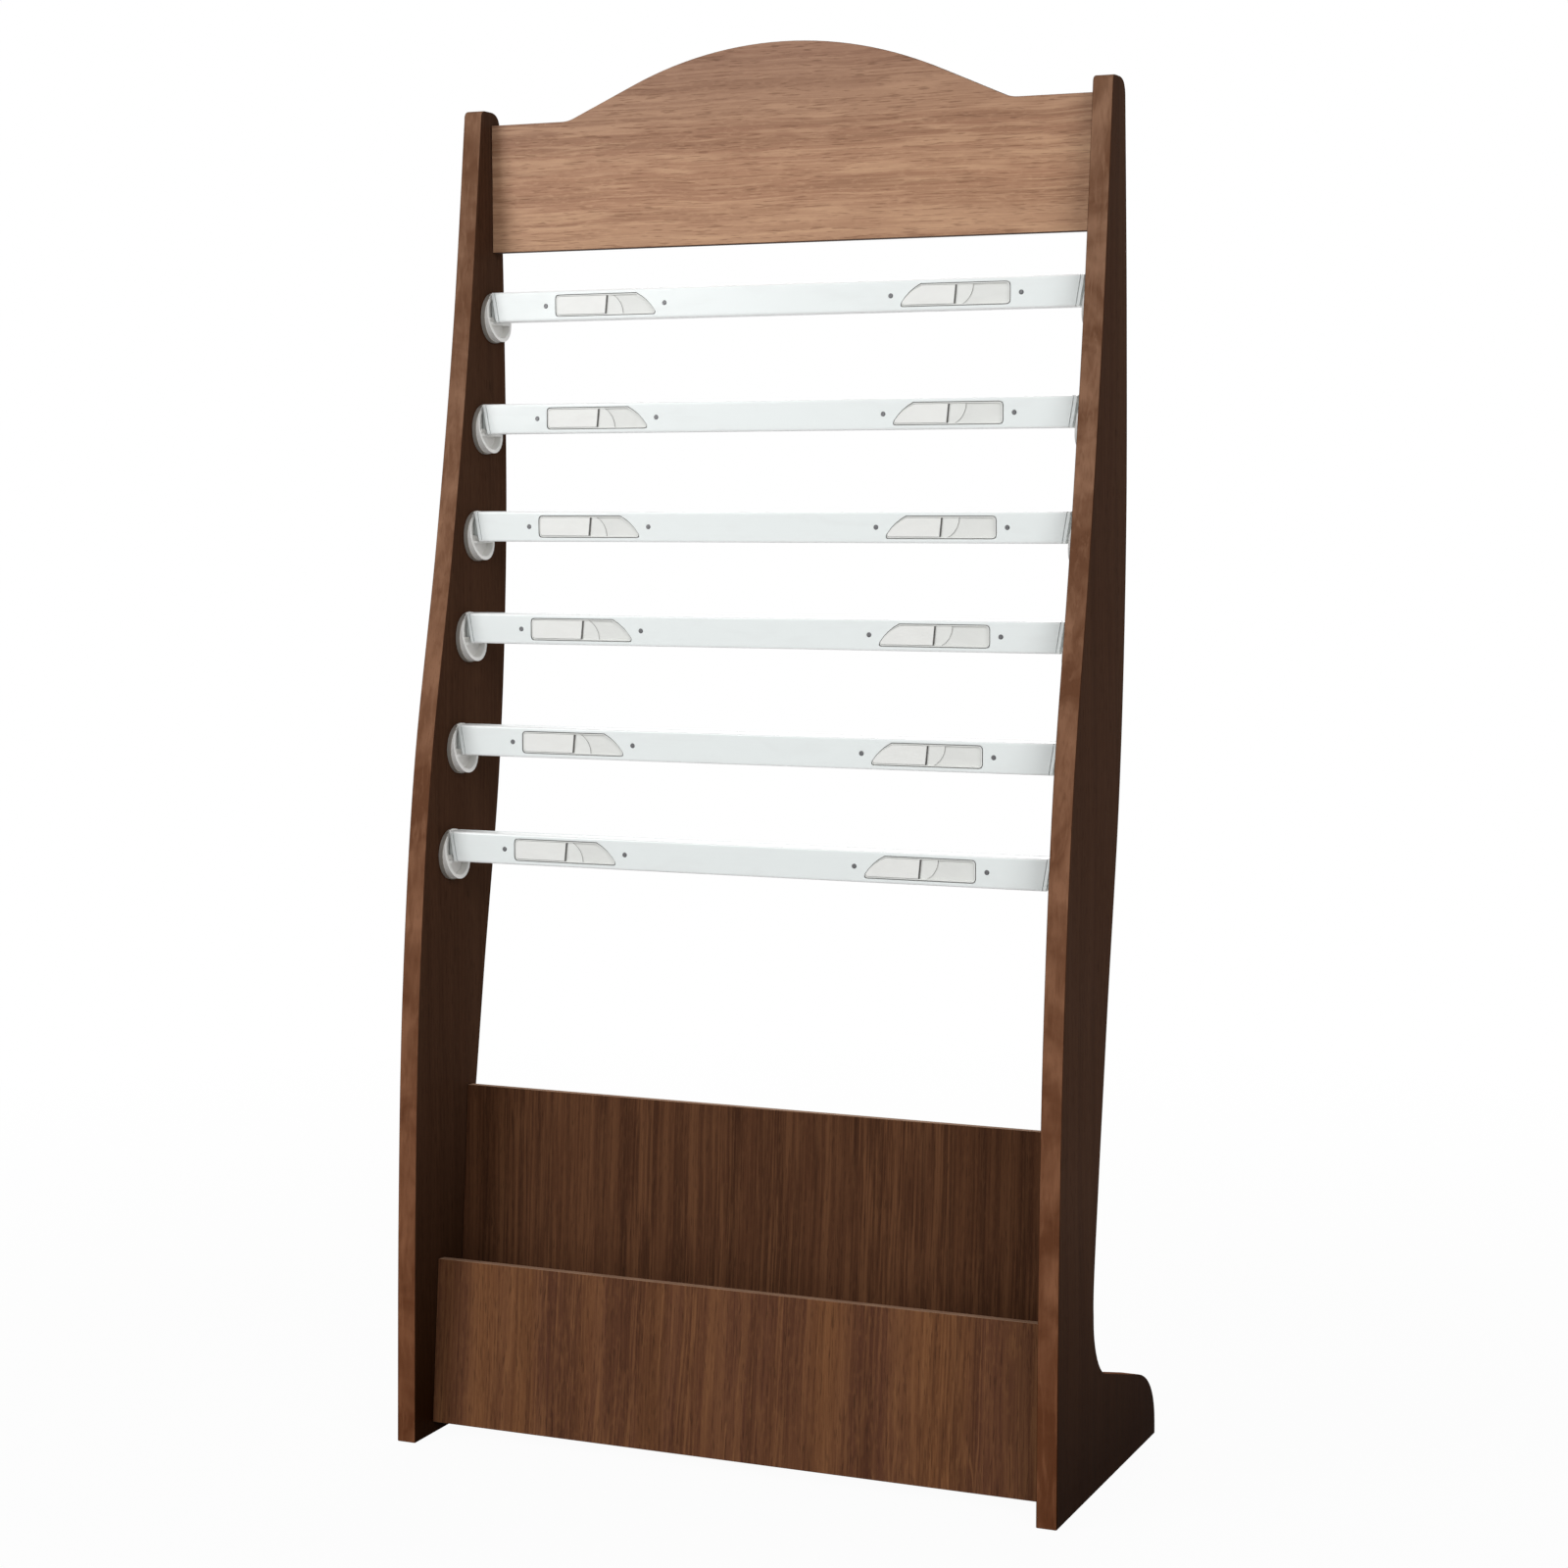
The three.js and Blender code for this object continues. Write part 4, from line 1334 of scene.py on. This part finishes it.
@dataclass
class BarHolders:
    """The round dishes on the panels' inner faces."""

    workshop: Workshop
    finishes: FinishSet
    base_thickness: float = 4.0 * MILLIMETRE
    step_slack: float = 0.1 * MILLIMETRE
    side_reach: float = 0.94
    side_height: float = 1.05
    # Painted shade on the side of the base, near the panel
    side_shade: float = 0.85
    softening: EdgeSoftening = EdgeSoftening(0.45 * MILLIMETRE, 2, weld=0.15 * MILLIMETRE)

    def build(self) -> None:
        """Make every holder."""
        for row in ROWS:
            for side in SIDES:
                self._holder(f"bar_holder_{row}_{side}")

    def _holder(self, node: str) -> None:
        """Make one holder, with painted shade round its base.

        Args:
            node: The holder's node.
        """
        low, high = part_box(node)
        panel = max(abs(low.x), abs(high.x))
        radius = (high.z - low.z) / 2
        middle = (low + high) / 2

        def dust_and_shade(polygon: bpy.types.MeshPolygon) -> float:
            """How much painted shade a face gets.

            Args:
                polygon: The face.

            Returns:
                1 on the step where the dish leaves the base, less on the base's side, else 0.
            """
            depth = panel - abs(polygon.center.x)
            reach = math.hypot(polygon.center.y - middle.y, polygon.center.z - middle.z)
            at_step = abs(depth - self.base_thickness) < self.step_slack
            if at_step and abs(polygon.normal.x) > SQUARE_ON:
                return 1.0
            low_down = depth < self.side_height * self.base_thickness
            return self.side_shade if low_down and reach > self.side_reach * radius else 0.0

        self.workshop.finished(
            node, "moulded", self.finishes.holder, "frame", "holder_plastic", self.softening,
            {PAINTED_SHADE_MASK: dust_and_shade},
        )


@dataclass
class ClampBar:
    """One bar: its back rail and grip strip, its jaw with two latches, and the latches' screws."""

    row: int
    workshop: Workshop
    finishes: FinishSet
    screws: ScrewTree
    grips: GripTree
    extrusion_softening: EdgeSoftening = EdgeSoftening(0.3 * MILLIMETRE, 2)
    housing_softening: EdgeSoftening = EdgeSoftening(0.12 * MILLIMETRE, 2)
    slider_softening: EdgeSoftening = EdgeSoftening(0.25 * MILLIMETRE, 2)
    latch_offset: float = 183.7 * MILLIMETRE
    wall: float = 2.0 * MILLIMETRE
    track_depth: float = 1.9 * MILLIMETRE
    thumb_chamfer: float = 1.1 * MILLIMETRE
    # Levels of painted shade in the thumb scoop and on the plug walls that face right
    scoop_shade: float = 0.05
    right_facing_shade: float = 0.75
    right_facing_slope: float = 0.3
    window_reach: float = 57.0 * MILLIMETRE
    outer_screw: float = 66.5 * MILLIMETRE
    inner_screw: float = 64.5 * MILLIMETRE

    def build(self) -> None:
        """Make the bar's pieces."""
        bar = f"bar_{self.row}"
        self.workshop.finished(
            f"{bar}_back_rail", "coated", self.finishes.coat, bar, "white_metal",
            self.extrusion_softening, {EDGE_MASK: self._on_long_edge},
        )
        self._jaw(bar)
        self._grip(bar)
        for side in SIDES:
            self._housing(bar, side)
            self._slider(bar, side)
        self._screws(bar)

    @staticmethod
    def _on_long_edge(polygon: bpy.types.MeshPolygon) -> bool:
        """Whether a face is on a rounded long edge of the extrusion, where a highlight is painted."""
        return abs(polygon.normal.x) < HALF_ON and abs(polygon.normal.y) < LEVEL_ON

    def _jaw(self, bar: str) -> None:
        """Make the front jaw, with painted shade on the walls of its latch windows.

        Args:
            bar: The bar's body.
        """
        node = f"{bar}_front_jaw"
        low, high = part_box(node)

        def in_window(polygon: bpy.types.MeshPolygon) -> bool:
            """Whether a face is a wall of one of the latch windows.

            Args:
                polygon: The face.

            Returns:
                True on a window's wall.
            """
            away = abs(abs(polygon.center.x) - self.latch_offset)
            inside = low.z + self.wall < polygon.center.z < high.z - self.wall
            in_wall = polygon.center.y < low.y + self.wall and abs(polygon.normal.y) < HALF_ON
            return in_wall and inside and away < self.window_reach

        self.workshop.finished(
            node, "coated", self.finishes.coat, f"{bar}_jaw", "white_metal", self.extrusion_softening,
            {PAINTED_SHADE_MASK: in_window, EDGE_MASK: self._on_long_edge},
        )

    def _housing(self, bar: str, side: str) -> None:
        """Make a latch housing, with painted shade in the seam round its plug and a little in its thumb
        scoop.

        Args:
            bar: The bar's body.
            side: Which end of the bar it is on.
        """
        node = f"{bar}_latch_housing_{side}"
        low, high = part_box(node)
        middle = (low + high) / 2

        def dust_and_shade(polygon: bpy.types.MeshPolygon) -> float:
            """How much painted shade a face gets.

            Args:
                polygon: The face.

            Returns:
                1 on the plug's outer walls, less on those that face right, a little in the scoop, else
                0.
            """
            outward = polygon.center - middle
            outward.y = 0.0
            depth = polygon.center.y - low.y
            if polygon.normal.y < -HALF_ON:
                return self.scoop_shade if depth > self.track_depth else 0.0
            if outward.dot(polygon.normal) < 0.0 or depth > self.wall:
                return 0.0
            return self.right_facing_shade if polygon.normal.x > self.right_facing_slope else 1.0

        self.workshop.finished(
            node, "moulded", self.finishes.latch, f"{bar}_jaw", "white_plastic", self.housing_softening,
            {PAINTED_SHADE_MASK: dust_and_shade},
        )

    def _slider(self, bar: str, side: str) -> None:
        """Make a latch slider, with painted shade on the chamfered end that a thumb pushes.

        Args:
            bar: The bar's body.
            side: Which end of the bar it is on.
        """
        node = f"{bar}_latch_slider_{side}"
        low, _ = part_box(node)

        def on_thumb_end(polygon: bpy.types.MeshPolygon) -> bool:
            """Whether a face is the plate's right-hand end or its chamfer.

            Args:
                polygon: The face.

            Returns:
                True on that end.
            """
            return polygon.normal.x > HALF_ON and polygon.center.y < low.y + self.wall

        def chamfer(shape: bmesh.types.BMesh) -> None:
            """Chamfer the front edge of that end.

            Args:
                shape: The slider's joined mesh.
            """
            shape.normal_update()
            ends = []
            for edge in shape.edges:
                across = max(face.normal.x for face in edge.link_faces)
                front = min(face.normal.y for face in edge.link_faces)
                depth = edge.verts[0].co.y - low.y
                if across > SQUARE_ON and front < -SQUARE_ON and depth < self.thumb_chamfer:
                    ends.append(edge)
            bmesh.ops.bevel(
                shape, geom=ends, offset=self.thumb_chamfer, segments=1, profile=0.5, affect="EDGES",
                clamp_overlap=True,
            )

        self.workshop.finished(
            node, "moulded", self.finishes.slider, f"{bar}_latch_{side}", "white_plastic",
            self.slider_softening, {PAINTED_SHADE_MASK: on_thumb_end}, chamfer,
        )

    def _grip(self, bar: str) -> None:
        """Make the ribbed grip strip in the rail's groove.

        Args:
            bar: The bar's body.
        """
        node = f"{bar}_grip_strip"
        low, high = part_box(node)
        size = high - low
        sizes = {"Length": size.x, "Depth": size.y, "Height": size.z}
        mesh = self.grips.mesh_at(node + "_mesh", [(low + high) / 2], **sizes)
        piece = self.workshop.place(f"ribbed_{node}", mesh, self.finishes.rubber, bar, "grip_rubber")
        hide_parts(node)

    def _screws(self, bar: str) -> None:
        """Set a screw beside each end of both latches.

        Args:
            bar: The bar's name.
        """
        low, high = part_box(f"{bar}_front_jaw")
        height = (low.z + high.z) / 2
        points = []
        for side in (-1, 1):
            for reach in (self.outer_screw, -self.inner_screw):
                points.append(Vector((side * (self.latch_offset + reach), low.y, height)))
        name = f"screws_{bar}"
        mesh = self.screws.mesh_at(name, points)
        self.workshop.place(name, mesh, self.finishes.screw, f"{bar}_jaw", "white_metal")


# Studio


@dataclass(frozen=True)
class SoftBox:
    """A square area lamp that looks at the rack."""

    name: str
    place: Triple
    aim: Triple
    width: float
    level: float

    def build(self) -> None:
        """Add the lamp; a level of 1 lights a facing white surface to white."""
        data = bpy.data.lights.new(self.name, "AREA")
        data.shape = "SQUARE"
        data.size = self.width
        away = Vector(self.aim) - Vector(self.place)
        data.energy = self.level * math.pi ** 2 * away.length_squared
        lamp = bpy.data.objects.new(self.name, data)
        lamp.location = self.place
        lamp.rotation_euler = away.to_track_quat("-Z", "Y").to_euler()
        bpy.context.scene.collection.objects.link(lamp)


@dataclass
class Studio:
    """The pale floor, the lamps, the white surround and the camera.

    The camera's angles are in degrees, its lens and its sensor in millimetres.
    """

    eye: Triple = (1.19322, -2.74149, 0.94285)
    azimuth: float = 23.318
    pitch: float = 3.485
    roll: float = -0.277
    lens: float = 70.871
    sensor_width: float = 36.0
    sight: float = 100.0
    shift_up: float = -0.075
    floor_reach: float = 30.0
    floor_drop: float = 0.4 * MILLIMETRE
    floor_grey: float = 0.6
    shadow_share: float = 0.04
    shadow_reach: tuple[float, float] = (0.8, 2.2)
    ambient: float = 0.3
    lamps: tuple[SoftBox, ...] = (
        SoftBox("key_light", place=(-2.3, -3.1, 2.1), aim=(0.0, 0.0, 0.8), width=1.8, level=0.47),
        SoftBox("fill_light", place=(3.1, -2.6, 2.1), aim=(0.0, 0.0, 0.8), width=2.0, level=0.345),
        SoftBox("top_light", place=(0.0, -0.6, 3.6), aim=(0.0, 0.0, 0.9), width=1.6, level=0.08),
        SoftBox("back_light", place=(-0.8, 3.4, 2.2), aim=(0.0, 0.0, 0.7), width=2.0, level=0.5),
    )

    def build(self) -> None:
        """Make the studio."""
        self._floor()
        self._surround()
        for lamp in self.lamps:
            lamp.build()
        self._camera()
        bpy.context.scene.view_settings.view_transform = "Standard"

    @staticmethod
    def _seen(sheet: NodeSheet) -> Signal:
        """A mask of the rays that should meet plain white.

        Args:
            sheet: The tree that the mask is in.

        Returns:
            1 for camera, glossy and transmission rays, else 0.
        """
        seen = sheet.add("ShaderNodeLightPath", output="Is Camera Ray")
        glossy = sheet.add("ShaderNodeLightPath", output="Is Glossy Ray")
        through = sheet.add("ShaderNodeLightPath", output="Is Transmission Ray")
        return sheet.add("ShaderNodeMath", {"operation": "ADD", "use_clamp": True},
                         {0: seen + glossy, 1: through})

    def _floor(self) -> None:
        """Lay a pale floor that keeps the rack's soft shadow and is plain white further off."""
        reach = self.floor_reach
        mesh = bpy.data.meshes.new("studio_floor")
        corners = [(-reach, -reach), (reach, -reach), (reach, reach), (-reach, reach)]
        mesh.from_pydata([(x, y, -self.floor_drop) for x, y in corners], [], [(0, 1, 2, 3)])
        floor = bpy.data.objects.new("studio_floor", mesh)
        bpy.context.scene.collection.objects.link(floor)
        sheet = NodeSheet.of_material("studio_floor")
        grey = Tone(self.floor_grey, self.floor_grey, self.floor_grey)
        matt = sheet.add("ShaderNodeBsdfDiffuse", None, {"Color": grey.rgba()})
        white = sheet.add("ShaderNodeEmission", None, {"Color": WHITE.rgba(), "Strength": 1.0})
        near, far = self.shadow_reach
        spot = sheet.add("ShaderNodeTexCoord", output="Object")
        distance = sheet.add("ShaderNodeVectorMath", {"operation": "LENGTH"}, {0: spot}, "Value")
        shaded = sheet.below(distance * (1 / far), Step(near / far, 1.0, self.shadow_share))
        share = self._seen(sheet) * (1 - shaded)
        mixed = sheet.add("ShaderNodeMixShader", None, {0: share, 1: matt, 2: white})
        sheet.add("ShaderNodeOutputMaterial", None, {"Surface": mixed})
        mesh.materials.append(sheet.owner)

    def _surround(self) -> None:
        """Light the rack evenly and show white behind it."""
        world = bpy.data.worlds.new("studio_surround")
        bpy.context.scene.world = world
        sheet = NodeSheet(world)
        strength = self._seen(sheet) * (1.0 - self.ambient) + self.ambient
        sockets = {"Color": WHITE.rgba(), "Strength": strength}
        glow = sheet.add("ShaderNodeBackground", None, sockets)
        sheet.add("ShaderNodeOutputWorld", None, {"Surface": glow})

    def _camera(self) -> None:
        """Stand the camera where the photograph was taken from."""
        data = bpy.data.cameras.new("front_camera")
        data.sensor_width = self.sensor_width
        data.lens = self.lens
        data.shift_y = self.shift_up
        data.clip_end = self.sight
        turn, dip, lean = (math.radians(angle) for angle in (self.azimuth, self.pitch, self.roll))
        ahead = Vector((-math.sin(turn), math.cos(turn), 0.0))
        side = Vector((math.cos(turn), math.sin(turn), 0.0))
        rise = Vector((0.0, 0.0, 1.0))
        forward = math.cos(dip) * ahead - math.sin(dip) * rise
        upward = math.cos(dip) * rise + math.sin(dip) * ahead
        right = math.cos(lean) * side + math.sin(lean) * upward
        up = math.cos(lean) * upward - math.sin(lean) * side
        stand = Matrix((right, up, -forward)).transposed().to_4x4()
        stand.translation = Vector(self.eye)
        camera = bpy.data.objects.new("front_camera", data)
        camera.matrix_world = stand
        bpy.context.scene.collection.objects.link(camera)
        bpy.context.scene.camera = camera


def main() -> None:
    """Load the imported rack, dress it and set up the studio."""
    logging.basicConfig(level=logging.INFO, format="%(name)s: %(message)s")
    for thing in list(bpy.data.objects):
        bpy.data.objects.remove(thing)
    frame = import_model()
    workshop = Workshop(frame["nodes"])
    finishes = FinishSet()
    screws = ScrewTree(finishes.screw)
    grips = GripTree(finishes.rubber)
    Studio().build()
    Carcass(workshop, finishes).build()
    BarHolders(workshop, finishes).build()
    for row in ROWS:
        ClampBar(row, workshop, finishes, screws, grips).build()
    LOG.info("%d pieces made", workshop.made)


if __name__ == "__main__":
    main()
